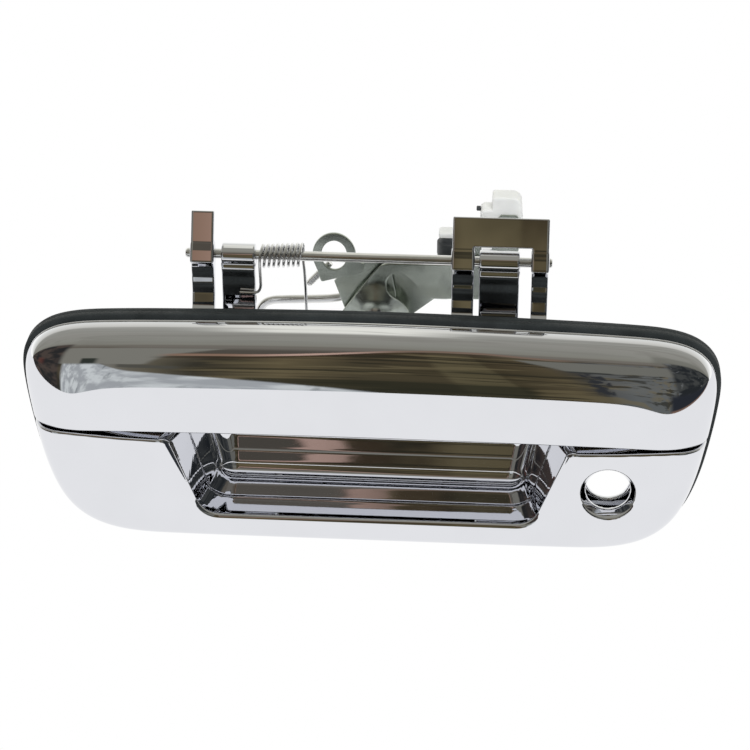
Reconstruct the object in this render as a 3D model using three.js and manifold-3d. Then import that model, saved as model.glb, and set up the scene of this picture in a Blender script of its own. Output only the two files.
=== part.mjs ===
// Tailgate pull handle: chrome bezel with finger pocket and key hole, hinged
// chrome paddle, hinge pin with return spring, and the release levers behind it.
// Units are millimetres. +X is to the right seen from outside the vehicle,
// +Y points into the tailgate, +Z is up. Y = 0 is the outer face of the tailgate
// skin, where the gasket seats; the origin is the middle of the handle outline.
import * as THREE from 'three';
import Module from 'manifold-3d';
import { mergeVertices } from 'three/addons/utils/BufferGeometryUtils.js';
import { ParametricGeometry } from 'three/addons/geometries/ParametricGeometry.js';

const wasm = await Module();
wasm.setup();

// ---------------------------------------------------------------- dimensions
const GASKET_T = 7.2;            // gasket thickness
const BEZEL_REAR = -7.5;         // rear edge of the bezel rim
const BEZEL_FRONT = -24.0;       // lower bezel face
const RAIL_FRONT = -9.3;         // front of the rail plate behind the paddle
const PADDLE_REAR = -9.7;        // rear edge of the paddle
const PADDLE_FRONT = -26.3;      // paddle face
const PADDLE_BOTTOM = 6.0;       // lower edge of the paddle
const LEDGE = [[0, 1.4], [95, 1.4], [112, 2.0], [127, 3.0], [147, 4.6], [170, 5.0]]; // shelf height under the paddle, by X
const WALL = 2.5;                // shell wall of bezel and paddle
const ZC = -2.6;                 // height the outline is scaled about
const POCKET_BACK = 12.0;        // back wall of the finger pocket
const LOCK = { x: 110.5, z: -19.0, r: 10.25, rOuter: 13.0 };
const PIN = { y: 15.0, z: 78.3, r: 2.25, x0: -85.4, x1: 81.6 };
const PIN_HOLE_R = 2.33;
const KNUCKLE_R = 5.1;
const EAR_FRONT = 8.6;           // front face of the upright tabs
const TAB_T = 3.4;               // thickness of the upright tabs
const TAB_LEAN = 24.5 * Math.PI / 180; // they lean back by this much
const TAB_FOOT = 76.8;           // height where the lean starts
const L_FIXED = [-82.6, -72.2];  // left fixed ear, X range
const L_PADDLE = [-68.7, -53.4]; // left paddle knuckle
const R_EAR_A = [36.3, 46.3];    // right fixed ear, inner
const R_PADDLE = [48.7, 66.9];   // right paddle knuckle
const R_EAR_B = [72.4, 80.0];    // right fixed ear, outer
const L_TAB_LEN = 23.3;          // tab lengths along the lean
const R_TAB_LEN = 23.9;
const R_SLOT_LEN = 10.3;         // slot in the right tab that clears the knuckle
const NOTCH_TOP = 52.4;          // top of the rail notches the paddle arms pass
const GASKET_NOTCH = 54.6;       // clearance in the gasket over the swinging arms
const BRACKET_Y = [46.0, 47.6];  // bracket plate
const LEVER_L_Y = [49.4, 51.0];  // left lever plate
const RING_Y = [43.6, 45.2];     // ring arm of the left lever
const LEVER_R_Y = [52.8, 54.4];  // right lever plate
const HUB = { x: -0.5, z: 36.5 };// common pivot of both levers
const RING = { x: -20.0, z: 65.5, rx: 10.2, rz: 11.3, hx: 6.0, hz: 7.4 };

// right half of the outline at the rear edge, X then Z, top centre to bottom
const HALF = [[0, 57.0], [40, 56.6], [80, 55.7], [115, 54.6], [134, 53.2], [145.5, 50.2],
  [152.3, 45.6], [156.2, 39.8], [157.7, 32.5], [157.3, 24], [156.3, 15], [155.0, 6], [153.4, -3],
  [151.6, -12], [149.4, -20], [146.6, -28], [142.8, -35.5], [137.3, -42], [129.8, -47],
  [120, -50.3], [108, -51.9], [88, -52.3], [44, -52.4], [0, -52.4]];

// ------------------------------------------------------------------- helpers
const V2 = (x, y) => new THREE.Vector2(x, y);
function solid(geom) {
  const g = geom.clone();
  for (const k of Object.keys(g.attributes)) if (k !== 'position') g.deleteAttribute(k);
  const m = mergeVertices(g, 1e-4);
  const src = m.index.array, p = m.attributes.position;
  const tri = [];
  for (let i = 0; i < src.length; i += 3) {
    const [a, b, c] = [src[i], src[i + 1], src[i + 2]];
    if (a !== b && b !== c && c !== a) tri.push(a, b, c);
  }
  let vol = 0;
  const A = new THREE.Vector3(), B = new THREE.Vector3(), C = new THREE.Vector3();
  for (let i = 0; i < tri.length; i += 3) {
    A.fromBufferAttribute(p, tri[i]); B.fromBufferAttribute(p, tri[i + 1]); C.fromBufferAttribute(p, tri[i + 2]);
    vol += A.dot(B.cross(C));
  }
  if (vol < 0) for (let i = 0; i < tri.length; i += 3) [tri[i + 1], tri[i + 2]] = [tri[i + 2], tri[i + 1]];
  return new wasm.Manifold(new wasm.Mesh({
    numProp: 3, vertProperties: new Float32Array(p.array), triVerts: new Uint32Array(tri),
  }));
}
// outline without repeated points
function clean(pts) {
  const o = [];
  for (const p of pts) {
    const q = o[o.length - 1];
    if (!q || Math.hypot(p[0] - q[0], p[1] - q[1]) > 0.02) o.push(p);
  }
  while (o.length > 1 && Math.hypot(o[0][0] - o[o.length - 1][0], o[0][1] - o[o.length - 1][1]) <= 0.02) o.pop();
  if (THREE.ShapeUtils.area(o.map((p) => V2(p[0], p[1]))) < 0) o.reverse();
  return o;
}
// polygon of [y, z] pushed along X
function alongX(pts, x0, x1) {
  const g = new THREE.ExtrudeGeometry(new THREE.Shape(clean(pts).map((p) => V2(p[0], p[1]))),
    { depth: x1 - x0, bevelEnabled: false, steps: 1 });
  g.applyMatrix4(new THREE.Matrix4().set(0, 0, 1, x0, 1, 0, 0, 0, 0, 1, 0, 0, 0, 0, 0, 1));
  return solid(g);
}
// polygon of [x, z] pushed along Y, with round or free holes
function alongY(pts, y0, y1, holes = []) {
  const s = new THREE.Shape(clean(pts).map((p) => V2(p[0], p[1])));
  for (const h of holes) s.holes.push(new THREE.Path(h.map((p) => V2(p[0], p[1]))));
  const g = new THREE.ExtrudeGeometry(s, { depth: y1 - y0, bevelEnabled: false, steps: 1 });
  g.applyMatrix4(new THREE.Matrix4().set(1, 0, 0, 0, 0, 0, -1, y1, 0, 1, 0, 0, 0, 0, 0, 1));
  return solid(g);
}
function alongZ(pts, z0, z1) {
  const g = new THREE.ExtrudeGeometry(new THREE.Shape(clean(pts).map((p) => V2(p[0], p[1]))),
    { depth: z1 - z0, bevelEnabled: false, steps: 1 });
  g.translate(0, 0, z0);
  return solid(g);
}
const circle = (x, z, r, n = 24, a0 = 0) => Array.from({ length: n },
  (_, i) => [x + r * Math.cos(a0 + 2 * Math.PI * i / n), z + r * Math.sin(a0 + 2 * Math.PI * i / n)]);
const arc = (x, z, r, d0, d1, n = 8) => Array.from({ length: n + 1 }, (_, i) => {
  const a = THREE.MathUtils.degToRad(d0 + (d1 - d0) * i / n);
  return [x + r * Math.cos(a), z + r * Math.sin(a)];
});
function box(x0, x1, y0, y1, z0, z1) {
  const g = new THREE.BoxGeometry(x1 - x0, y1 - y0, z1 - z0);
  g.translate((x0 + x1) / 2, (y0 + y1) / 2, (z0 + z1) / 2);
  return solid(g);
}
function cylX(y, z, r, x0, x1, n = 24) {
  const g = new THREE.CylinderGeometry(r, r, x1 - x0, n);
  g.rotateZ(Math.PI / 2);
  g.translate((x0 + x1) / 2, y, z);
  return solid(g);
}
function cylY(x, z, r0, r1, y0, y1, n = 24) {
  const g = new THREE.CylinderGeometry(r1, r0, y1 - y0, n);
  g.translate(x, (y0 + y1) / 2, z);
  return solid(g);
}
function latheX(profile, y, z, n = 24) {   // profile of [r, x]
  const g = new THREE.LatheGeometry(profile.map((p) => V2(p[0], p[1])), n);
  g.rotateZ(-Math.PI / 2);
  g.translate(0, y, z);
  return solid(g);
}
function latheY(profile, x, z, n = 24) {   // profile of [r, y]
  const g = new THREE.LatheGeometry(profile.map((p) => V2(p[0], p[1])), n);
  g.translate(x, 0, z);
  return solid(g);
}
function latheZ(profile, x, y, n = 20) {   // profile of [r, z]
  const g = new THREE.LatheGeometry(profile.map((p) => V2(p[0], p[1])), n);
  g.rotateX(Math.PI / 2);
  g.translate(x, y, 0);
  return solid(g);
}
// solid through rings of equal length, closed by a fan at each end
function loft(rings) {
  const n = rings[0].length, m = rings.length;
  const mid = (r) => r.reduce((s, p) => [s[0] + p[0] / n, s[1] + p[1] / n, s[2] + p[2] / n], [0, 0, 0]);
  const first = mid(rings[0]), last = mid(rings[m - 1]);
  return solid(new ParametricGeometry((u, v, t) => {
    const j = Math.round(v * (m + 1)), i = Math.round(u * n) % n;
    const p = j === 0 ? first : j === m + 1 ? last : rings[j - 1][i];
    t.set(p[0], p[1], p[2]);
  }, n, m + 1));
}
function wire(points, r, sides, steps, closed = false) {
  const path = new THREE.CatmullRomCurve3(points.map((p) => new THREE.Vector3(...p)), closed, 'centripetal');
  const g = new THREE.ExtrudeGeometry(new THREE.Shape(circle(0, 0, r, sides).map((p) => V2(p[0], p[1]))),
    { steps, bevelEnabled: false, extrudePath: path });
  return solid(g);
}
// corner-rounded polygon with the same number of points for every corner
function rounded(pts, radii, seg = 5) {
  const out = [], n = pts.length;
  for (let i = 0; i < n; i++) {
    const p = V2(...pts[i]), a = V2(...pts[(i + n - 1) % n]).sub(p).normalize();
    const b = V2(...pts[(i + 1) % n]).sub(p).normalize();
    const r = Array.isArray(radii) ? radii[i] : radii;
    const half = Math.acos(THREE.MathUtils.clamp(a.dot(b), -1, 1)) / 2;
    const c = p.clone().add(a.clone().add(b).normalize().multiplyScalar(r / Math.sin(half)));
    const t = r / Math.tan(half);
    const s = p.clone().add(a.multiplyScalar(t)), e = p.clone().add(b.multiplyScalar(t));
    let a0 = Math.atan2(s.y - c.y, s.x - c.x), a1 = Math.atan2(e.y - c.y, e.x - c.x);
    while (a1 - a0 > Math.PI) a1 -= 2 * Math.PI;
    while (a1 - a0 < -Math.PI) a1 += 2 * Math.PI;
    for (let k = 0; k <= seg; k++) {
      const w = a0 + (a1 - a0) * k / seg;
      out.push([c.x + r * Math.cos(w), c.y + r * Math.sin(w)]);
    }
  }
  return out;
}
const union = (...list) => list.reduce((a, b) => a.add(b));


const group = new THREE.Group();
function piece(name, manifold, color, roughness, metalness) {
  const m = manifold.getMesh();
  const n = m.numProp, v = m.vertProperties, pos = new Float32Array(v.length / n * 3);
  for (let i = 0; i < v.length / n; i++) pos.set([v[i * n], v[i * n + 1], v[i * n + 2]], i * 3);
  const g = new THREE.BufferGeometry();
  g.setAttribute('position', new THREE.BufferAttribute(pos, 3));
  g.setIndex(new THREE.BufferAttribute(new Uint32Array(m.triVerts), 1));
  g.computeVertexNormals();
  const mesh = new THREE.Mesh(g, new THREE.MeshStandardMaterial({ color, roughness, metalness }));
  mesh.name = name;
  group.add(mesh);
  return mesh;
}
const CHROME = [0xe4e6ea, 0.04, 1.0];
const RUBBER = [0x24282b, 0.75, 0.0];
const ZINC = [0xa3a89c, 0.34, 0.9];
const STEEL = [0xc6c7c6, 0.22, 1.0];
const SPRING = [0xcfd0d0, 0.2, 1.0];
const NYLON = [0xeceeee, 0.5, 0.0];
const BLACK = [0x34383a, 0.55, 0.0];

// ------------------------------------------------------------------- outline
const right = HALF, left = HALF.slice(1, -1).reverse().map((p) => [-p[0], p[1]]);
const curve = new THREE.CatmullRomCurve3([...right, ...left].map((p) => new THREE.Vector3(p[0], p[1], 0)),
  true, 'centripetal');
const OUT = curve.getSpacedPoints(76).slice(0, 76).map((p) => [p.x, p.y]);
function grow(pts, d) {                           // offset outward by d
  const n = pts.length;
  return pts.map((p, i) => {
    const a = pts[(i + n - 1) % n], b = pts[(i + 1) % n];
    const t = V2(b[0] - a[0], b[1] - a[1]).normalize();
    return [p[0] + -t.y * d, p[1] + t.x * d];
  });
}
const towards = (p, sx, sz) => [p[0] * sx, ZC + (p[1] - ZC) * sz];
// crowned body: elliptical quarter from the outline at yRear to a scaled core at yFront
function crowned(out, sx, sz, yRear, yFront, yBack, n = 6) {
  const rings = [];
  if (yBack !== null) rings.push(out.map((p) => [p[0], yBack, p[1]]));
  for (let k = 0; k <= n; k++) {
    const a = Math.PI / 2 * k / n, f = 1 - Math.cos(a), g = Math.sin(a);
    rings.push(out.map((p) => {
      const q = towards(p, sx, sz);
      return [p[0] + (q[0] - p[0]) * f, yRear + (yFront - yRear) * g, p[1] + (q[1] - p[1]) * f];
    }));
  }
  return loft(rings);
}

// --------------------------------------------------------------------- bezel
const SX_B = 0.915, SZ_B = 0.85, SX_P = 0.865, SZ_P = 0.53;
const body = crowned(OUT, SX_B, SZ_B, BEZEL_REAR - 0.01, BEZEL_FRONT, BEZEL_REAR);
const shelf = (drop) => [...LEDGE.slice(1).map(([x, z]) => [-x, z - drop]).reverse(), ...LEDGE.map(([x, z]) => [x, z - drop])];
const above = alongY([[-220, 5.0], ...shelf(0), [220, 5.0], [220, 120], [-220, 120]], -60, RAIL_FRONT);
const hollow = crowned(grow(OUT, -WALL), SX_B, SZ_B + 0.01, BEZEL_REAR, BEZEL_FRONT + WALL, 5, 4)
  .intersect(alongY([[-220, -100], [220, -100], [220, 5.0 - WALL], ...shelf(WALL).reverse(), [-220, 5.0 - WALL]], -60, 6));
// finger pocket: trapezoid mouth narrowing to the back wall
function pocketRing(y, d, f) {                    // f: 0 at the mouth, 1 at the back
  const m = THREE.MathUtils.lerp;
  const pts = [[m(93.6, 76.5, f) + d, 5], [m(90, 76, f) + d, m(31, 27, f) + d],
    [-m(90, 76, f) - d, m(31, 27, f) + d], [-m(93.6, 76.5, f) - d, 5],
    [-m(76.3, 71.2, f) - d * 0.8, m(-37.0, -33.6, f) - d], [m(76.3, 71.2, f) + d * 0.8, m(-37.0, -33.6, f) - d]];
  const r = m(9, 7, f) + d;
  return rounded(pts, [6 + d, r, r, 6 + d, r, r], 4).map((p) => [p[0], y, p[1]]);
}
const bowlOut = loft([pocketRing(-22.6, WALL, 0.03), pocketRing(-8, WALL, 0.42),
  pocketRing(POCKET_BACK - 4, WALL, 0.9), pocketRing(POCKET_BACK + WALL - 1, WALL - 0.8, 1.0),
  pocketRing(POCKET_BACK + WALL, WALL - 2.4, 1.0)]);
const bowlIn = loft([pocketRing(-40, 3.4, 0), pocketRing(-24.05, 3.0, 0), pocketRing(-22.9, 0.9, 0),
  pocketRing(-21.0, 0, 0.04), pocketRing(-8, 0, 0.42), pocketRing(POCKET_BACK - 6, 0, 0.84),
  pocketRing(POCKET_BACK - 1.8, -2.2, 0.96), pocketRing(POCKET_BACK, -6.2, 1.0)]);
const lockBoss = cylY(LOCK.x, LOCK.z, 13.6, 13.6, -22.8, -17.8, 32);
const lockCut = union(cylY(LOCK.x, LOCK.z, LOCK.rOuter + 0.3, LOCK.r, -24.5, -19.6, 32),
  cylY(LOCK.x, LOCK.z, LOCK.r, LOCK.r, -20, -5, 32));

// hinge arms: leave the rail plate under the gasket, rise behind the skin to the pin
const armProfile = [[-9.0, 49.4], [-1.0, 49.4], [5.0, 50.6], [9.2, 54.6], [11.0, 60.2], [11.2, 68],
  [10.2, 73.6], [EAR_FRONT, TAB_FOOT - 0.2], [10.9, 81.8], [12.4, 84.0], [15, 84.0], [18.6, 82.6],
  [20.6, 78.3], [19.4, 74.2], [17.2, 71.2], [16.2, 66], [15.8, 57], [13.4, 49.6], [8.0, 44.9],
  [0, 43.2], [-9.0, 43.2]];
// point on a tab's section: distance up the lean, depth behind its front face
const leanPt = (up, deep) => [EAR_FRONT + up * Math.sin(TAB_LEAN) + deep * Math.cos(TAB_LEAN),
  TAB_FOOT + up * Math.cos(TAB_LEAN) - deep * Math.sin(TAB_LEAN)];
const tabSection = (len) => [leanPt(0, 0), leanPt(len - 0.5, 0), leanPt(len, 0.5), leanPt(len, TAB_T), leanPt(2, TAB_T)];
const tabL = alongX(tabSection(L_TAB_LEN), ...L_FIXED);
const rTop = leanPt(R_TAB_LEN, 0.5)[1];
const tabR = alongX(tabSection(R_TAB_LEN), R_EAR_A[0], R_EAR_B[1])
  .subtract(alongX([leanPt(-3, -1), leanPt(R_SLOT_LEN, -1), leanPt(R_SLOT_LEN, TAB_T + 1), leanPt(-3, TAB_T + 1)], R_EAR_A[1], R_EAR_B[0]))
  .intersect(alongY([[R_EAR_A[0], 70], [R_EAR_B[1], 70], [R_EAR_B[1], rTop - 1.2], [R_EAR_B[1] - 1.2, rTop + 0.1],
    [R_EAR_A[0] + 2.0, rTop + 0.1], [R_EAR_A[0] + 0.5, rTop - 0.6], [R_EAR_A[0], rTop - 2.4]], 0, 40));
const notches = union(box(L_PADDLE[0] - 1.0, L_PADDLE[1] + 1.0, -12, -6, 36.4, NOTCH_TOP),
  box(R_PADDLE[0] - 1.0, R_PADDLE[1] + 1.0, -12, -6, 36.4, NOTCH_TOP));
// bosses: two for the mounting studs, three for the lever bracket, two stop seats
const STUD = [[-124, 22], [124, 22]];
const BOSS = [[-17, 2], [17, 2], [0, -17]];
const studBoss = union(...STUD.map(([x, z]) => cylY(x, z, 7.5, 6.8, -8.5, -0.2, 20)));
const studHole = union(...STUD.map(([x, z]) => union(cylY(x, z, 2.8, 2.8, -6.6, -2.0, 16), cylY(x, z, 3.4, 3.4, -2.2, 2, 16))));
const braBoss = union(...BOSS.map(([x, z]) => cylY(x, z, 6.2, 4.8, POCKET_BACK + 1, BRACKET_Y[0] - 0.3, 18)));
const braHole = union(...BOSS.map(([x, z]) => cylY(x, z, 1.85, 1.85, 30, 50, 14)));
const ribs = union(...[-124, 124].map((x) => box(x - 1.2, x + 1.2, -21, -8, -42, 2)),
  ...[-62, 62].map((x) => box(x - 1.2, x + 1.2, -20, -7.5, -50, -38)));

let bezel = body.subtract(hollow).add(bowlOut).add(lockBoss).add(ribs.intersect(body));
bezel = bezel.subtract(above).subtract(bowlIn);
bezel = bezel.subtract(notches).add(studBoss).add(braBoss);
bezel = union(bezel, alongX(armProfile, ...L_FIXED), alongX(armProfile, ...R_EAR_A),
  alongX(armProfile, ...R_EAR_B), tabL, tabR);
bezel = bezel.subtract(lockCut).subtract(studHole).subtract(braHole)
  .subtract(cylX(PIN.y, PIN.z, PIN_HOLE_R, -120, 120, 24));
piece('bezel_frame', bezel, ...CHROME);

// -------------------------------------------------------------------- gasket
const gIn = OUT.map((p) => towards(p, 0.945, p[1] > 30 ? 0.918 : 0.86));
const gasket = alongY(grow(OUT, 2.1), -GASKET_T, 0, [grow(gIn, 0)])
  .subtract(union(...STUD.map(([x, z]) => cylY(x, z, 7.9, 7.9, -20, 5, 20)),
    box(L_PADDLE[0] - 1, L_PADDLE[1] + 1, -12, 5, 40, GASKET_NOTCH), box(R_PADDLE[0] - 1, R_PADDLE[1] + 1, -12, 5, 40, GASKET_NOTCH)));
piece('panel_gasket', gasket, ...RUBBER);

// -------------------------------------------------------------------- paddle
const pOut = crowned(OUT, SX_P, SZ_P, PADDLE_REAR, PADDLE_FRONT, null, 7)
  .intersect(box(-200, 200, -60, 0, PADDLE_BOTTOM, 100));
const pIn = crowned(grow(OUT, -WALL), SX_P, SZ_P, PADDLE_REAR, PADDLE_FRONT + WALL, 0, 4)
  .intersect(box(-200, 200, -60, 0, PADDLE_BOTTOM + WALL, 100));
const paddleArm = [[-21.5, 43.0], [-3.0, 42.8], [3.6, 44.0], [8.4, 48.0], [10.8, 54.0], [11.4, 61],
  [11.3, 68], [10.6, 74.5], [15, 73.2], [19.2, 75.2], [16.4, 69.6], [15.8, 60], [14.9, 52.0],
  [11.6, 44.4], [5.4, 39.4], [-2.0, 37.8], [-12, 37.4], [-20.2, 30.0], [-22.6, 30.0]];
const armL = alongX(paddleArm, ...L_PADDLE).add(cylX(PIN.y, PIN.z, KNUCKLE_R, ...L_PADDLE, 28));
const armR = alongX(paddleArm, ...R_PADDLE).add(cylX(PIN.y, PIN.z, KNUCKLE_R, ...R_PADDLE, 28));
// tail that presses the right lever down as the paddle opens
const TAIL = [49.2, 54.0];
const tail = alongX([[17, 82.2], [26, 82.0], [44, 79.0], [57.6, 76.6], [58.6, 75.2], [57.2, 73.6], [54, 73.8],
  [42, 75.6], [24, 76.0], [17, 74.6]], ...TAIL);
const paddleRibs = union(...[-110, -30, 30, 110].map((x) => box(x - 1, x + 1, -25, -12.5, 6, 40)))
  .intersect(pOut);
let paddle = pOut.subtract(pIn).add(paddleRibs).add(armL).add(armR).add(tail)
  .subtract(cylX(PIN.y, PIN.z, PIN_HOLE_R, -120, 120, 24));
piece('paddle_handle', paddle, ...CHROME);

// ---------------------------------------------------- hinge pin and its spring
piece('hinge_pin', latheX([[0, PIN.x0], [1.6, PIN.x0], [PIN.r, PIN.x0 + 1.0], [PIN.r, PIN.x1 - 1.0],
  [1.6, PIN.x1], [0, PIN.x1]], PIN.y, PIN.z, 20), ...STEEL);
{
  const r = 4.75, x0 = -50.8, x1 = -32.4, turns = 9.5, steps = Math.round(turns * 16), pts = [];
  pts.push([-58.5, 10.2, 61.3], [-54.5, 10.15, 61.2], [-51.4, 10.1, 62.2], [-50.7, 10.1, 64.5], [-51.0, 10.2, 70]);
  for (let i = 0; i <= steps; i++) {
    const a = Math.PI + 2 * Math.PI * turns * i / steps * -1;
    pts.push([x0 + (x1 - x0) * i / steps, PIN.y + r * Math.cos(a), PIN.z + r * Math.sin(a)]);
  }
  pts.push([-32.1, 19.75, 75], [-31.5, 19.4, 68], [-30.7, 17.5, 54], [-30.2, 14.6, 42], [-30.0, 12.2, 35.0]);
  piece('return_spring', wire(pts, 0.62, 5, 132), ...SPRING);
}

// ------------------------------------------------------------- lever bracket
const hubArc = (r, d0, d1, n) => arc(HUB.x, HUB.z, r, d0, d1, n);
const brOutline = [[3.2, 61.0], [1.0, 59.6], [-9.2, 46.4], [-16.4, 35.5], [-17.6, 24], [-22.5, 8], [-22.5, -3],
  [-6, -22.5], [6, -22.5], [22.5, -3], [22.5, 8], [16, 22], [14.2, 30], [14.9, 36.5], [13.3, 39.4], [10.9, 42.3],
  [7.4, 44.8], [5.0, 47.4], [4.4, 50.5], [5.6, 53.8], [8.0, 55.6], [10.8, 56.1], [14, 54.6], [18.5, 50], [21.2, 46.4],
  [22.4, 44.4], [24.4, 43.4], [28.2, 43.1], [35, 43.4], [52, 43.6], [61.5, 45.5], [63.4, 50], [63.0, 57], [59.4, 61.4]];
const dome = latheY([[0, 40.4], [5.6, 40.5], [10.2, 42.0], [13.0, 44.6], [13.7, BRACKET_Y[0] + 0.2], [13.7, 46.8],
  [11.4, 46.8], [9.3, 43.6], [5.0, 42.1], [0, 42.0]], HUB.x, HUB.z, 28);
let bracket = alongY(brOutline, ...BRACKET_Y)
  .subtract(cylY(HUB.x, HUB.z, 11.6, 11.6, 40, 60, 28)).add(dome)
  .intersect(alongY(brOutline, 30, 60))
  .subtract(cylY(HUB.x, HUB.z, 2.6, 2.6, 30, 60, 16))
  .subtract(union(...BOSS.map(([x, z]) => cylY(x, z, 2.2, 2.2, 40, 50, 14))));
piece('mechanism_bracket', bracket, ...ZINC);
BOSS.forEach(([x, z], i) => piece(`bracket_screw_${i + 1}`, latheY([[0, 34], [1.3, 34], [1.6, 35], [1.6, 47.9],
  [3.9, 47.9], [3.7, 49.6], [2.6, 50.6], [1.9, 50.8], [1.2, 49.6], [0, 49.6]], x, z, 16), ...STEEL));

// pivot rivet through dome and both levers
piece('pivot_rivet', latheY([[0, 38.9], [2.2, 39.1], [3.9, 40.1], [2.3, 40.15], [2.3, 57.2], [4.6, 57.3],
  [4.3, 58.4], [2.6, 59.2], [0, 59.3]], HUB.x, HUB.z, 20), ...STEEL);
piece('pivot_spacer', latheY([[2.55, 42.3], [4.4, 42.3], [4.4, 49.1], [2.55, 49.1], [2.55, 42.3]], HUB.x, HUB.z, 20), ...STEEL);

// ---------------------------------------------------------------- left lever
const LL = [[-20.6, 49.4], [-15.5, 34.5], [-12.5, 29.0], ...hubArc(9.5, 220, 380, 8), [8.6, 44], [6, 58.6], [-2, 61.4],
  [-6.0, 61.6], [-8.0, 60.8], [-13.5, 57.2]];
const oval = (rx, rz, d0, d1, n) => arc(0, 0, 1, d0, d1, n).map(([x, z]) => [RING.x + x * rx, RING.z + z * rz]);
const ringPlate = [[-27.9, 57.2], [-26.5, 52.2], [-25.6, 51.7], [-7.2, 56.9], [-6.2, 57.6], [-6.2, 61.4],
  ...oval(RING.rx, RING.rz, -12, 206, 18)];
let leftLever = alongY(LL, ...LEVER_L_Y)
  .add(alongY(ringPlate, ...RING_Y))
  .add(box(-7.8, -6.2, RING_Y[0], LEVER_L_Y[1], 57.6, 61.4))
  .subtract(alongY(oval(RING.hx, RING.hz, 0, 350, 35), 40, 48))
  .subtract(cylY(HUB.x, HUB.z, 2.4, 2.4, 45, 60, 20))
  .subtract(cylY(-13.4, 43.6, 2.35, 2.35, 45, 60, 16));
piece('left_lever', leftLever, ...ZINC);
piece('lever_stud', wire([[-22.0, 47.3, 60.0], [-25.4, 47.3, 56.4], [-29.2, 47.3, 52.4], [-32.8, 47.3, 48.4]], 1.75, 10, 6), ...STEEL);

// --------------------------------------------------------------- right lever
const RL = [...hubArc(9.5, 150, 300, 8), [16, 31], [30, 42.6], [46, 50], [60, 57], [66, 66.5], [66, 82.4], [64.4, 84.2],
  [57.4, 84.2], [56, 82.8], [56, 72.8], [41, 72.8], [40.2, 66], [38, 58.2], [28, 57.6], [20, 55.4], [4, 46.6]];
let rightLever = alongY(RL, ...LEVER_R_Y)
  .add(box(41, 55.6, LEVER_R_Y[0], 61.4, 71.0, 72.8))
  .add(box(27.4, 38.6, LEVER_R_Y[0], 68.6, 57.4, 59.2))
  .subtract(cylY(HUB.x, HUB.z, 2.4, 2.4, 45, 60, 20))
  .subtract(cylY(60.4, 78.4, 3.0, 3.0, 50, 60, 20));
piece('right_lever', rightLever, ...ZINC);

// rod clips, nylon, snapped into the lever holes
const clipUp = alongY([...arc(50.0, 83.4, 2.4, 180, 90, 3), [53.0, 85.8], [53.0, 91.2], ...arc(54.4, 90.8, 1.4, 180, 90, 2).slice(1),
  ...arc(62.4, 87.8, 4.4, 90, 0, 5), [67.6, 76.6], [65.0, 73.4], [57.2, 73.4], [57.2, 79.8], [47.6, 79.8]], 55.0, 65.0)
  .add(cylY(60.4, 78.4, 2.8, 2.8, 51.4, 55.5, 20)).add(cylY(60.4, 78.4, 3.9, 3.3, 50.2, 52.2, 20))
  .subtract(cylY(60.4, 78.4, 1.6, 1.6, 58, 70, 14));
piece('rod_clip_upper', clipUp, ...NYLON);
piece('clip_pin_upper', latheX([[0, 45.7], [0.9, 45.7], [1.2, 46.1], [1.2, 47.3], [0, 47.3]], 60, 84.4, 14), ...BLACK);

piece('clip_bush_lower', latheZ([[0, 59.5], [5.3, 59.5], [5.7, 60.2], [5.7, 66.0], [5.2, 66.5], [4.2, 66.6], [4.2, 68.7], [0, 68.7]],
  33.0, 62.2, 20), ...BLACK);
piece('clip_cap_lower', alongX([[58.2, 69.3], [58.5, 69.0], [65.9, 69.0], [66.2, 69.3], [66.2, 71.0], [65.5, 71.7],
  [58.9, 71.7], [58.2, 71.0]], 28.2, 37.8), ...NYLON);

// ----------------------------------------------------------------- link rod
piece('link_rod', wire([[-13.4, 47.8, 43.6], [-13.4, 51.0, 43.6], [-13.5, 53.4, 43.2], [-14.2, 55.4, 41.2], [-16.5, 56.2, 38.4],
  [-22, 56.2, 37.1], [-32, 56.2, 36.3], [-44, 56.2, 35.7], [-51, 56.2, 35.0], [-54.6, 56.2, 33.3], [-57, 56.2, 29.6], [-58.4, 56.2, 22],
  [-58.6, 56.2, 12]], 2.0, 8, 28), ...STEEL);

// ---------------------------------------------------------------- stops, studs
[[-98, 44], [98, 44]].forEach(([x, z], i) => piece(i ? 'bump_stop_right' : 'bump_stop_left',
  latheY([[0, RAIL_FRONT - 3.6], [3.0, RAIL_FRONT - 3.6], [4.0, RAIL_FRONT - 2.4], [4.4, RAIL_FRONT - 0.3], [0, RAIL_FRONT - 0.3]], x, z, 16),
  ...RUBBER));
STUD.forEach(([x, z], i) => piece(i ? 'mount_stud_right' : 'mount_stud_left',
  latheY([[0, -6.2], [2.5, -6.2], [2.5, 0.6], [2.9, 0.9], [2.9, 15.2], [2.2, 16], [0, 16]], x, z, 16), ...STEEL));

export default group;
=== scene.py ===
"""Tailgate pull handle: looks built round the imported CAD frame.

Shapes are given in millimetres in the CAD frame (X right, Y into the tailgate, Z up) and turned into metres
when a mesh is made. The die-cast chrome pieces are meshed from rounded solids (distance fields on a grid,
surface nets, then each point moved onto the surface), the stampings from bevelled outlines, the wires from
round bevelled curves and the turned pieces from lathed profiles.
"""
import math
import bpy
import numpy as np
from mathutils import Matrix, Vector


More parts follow.
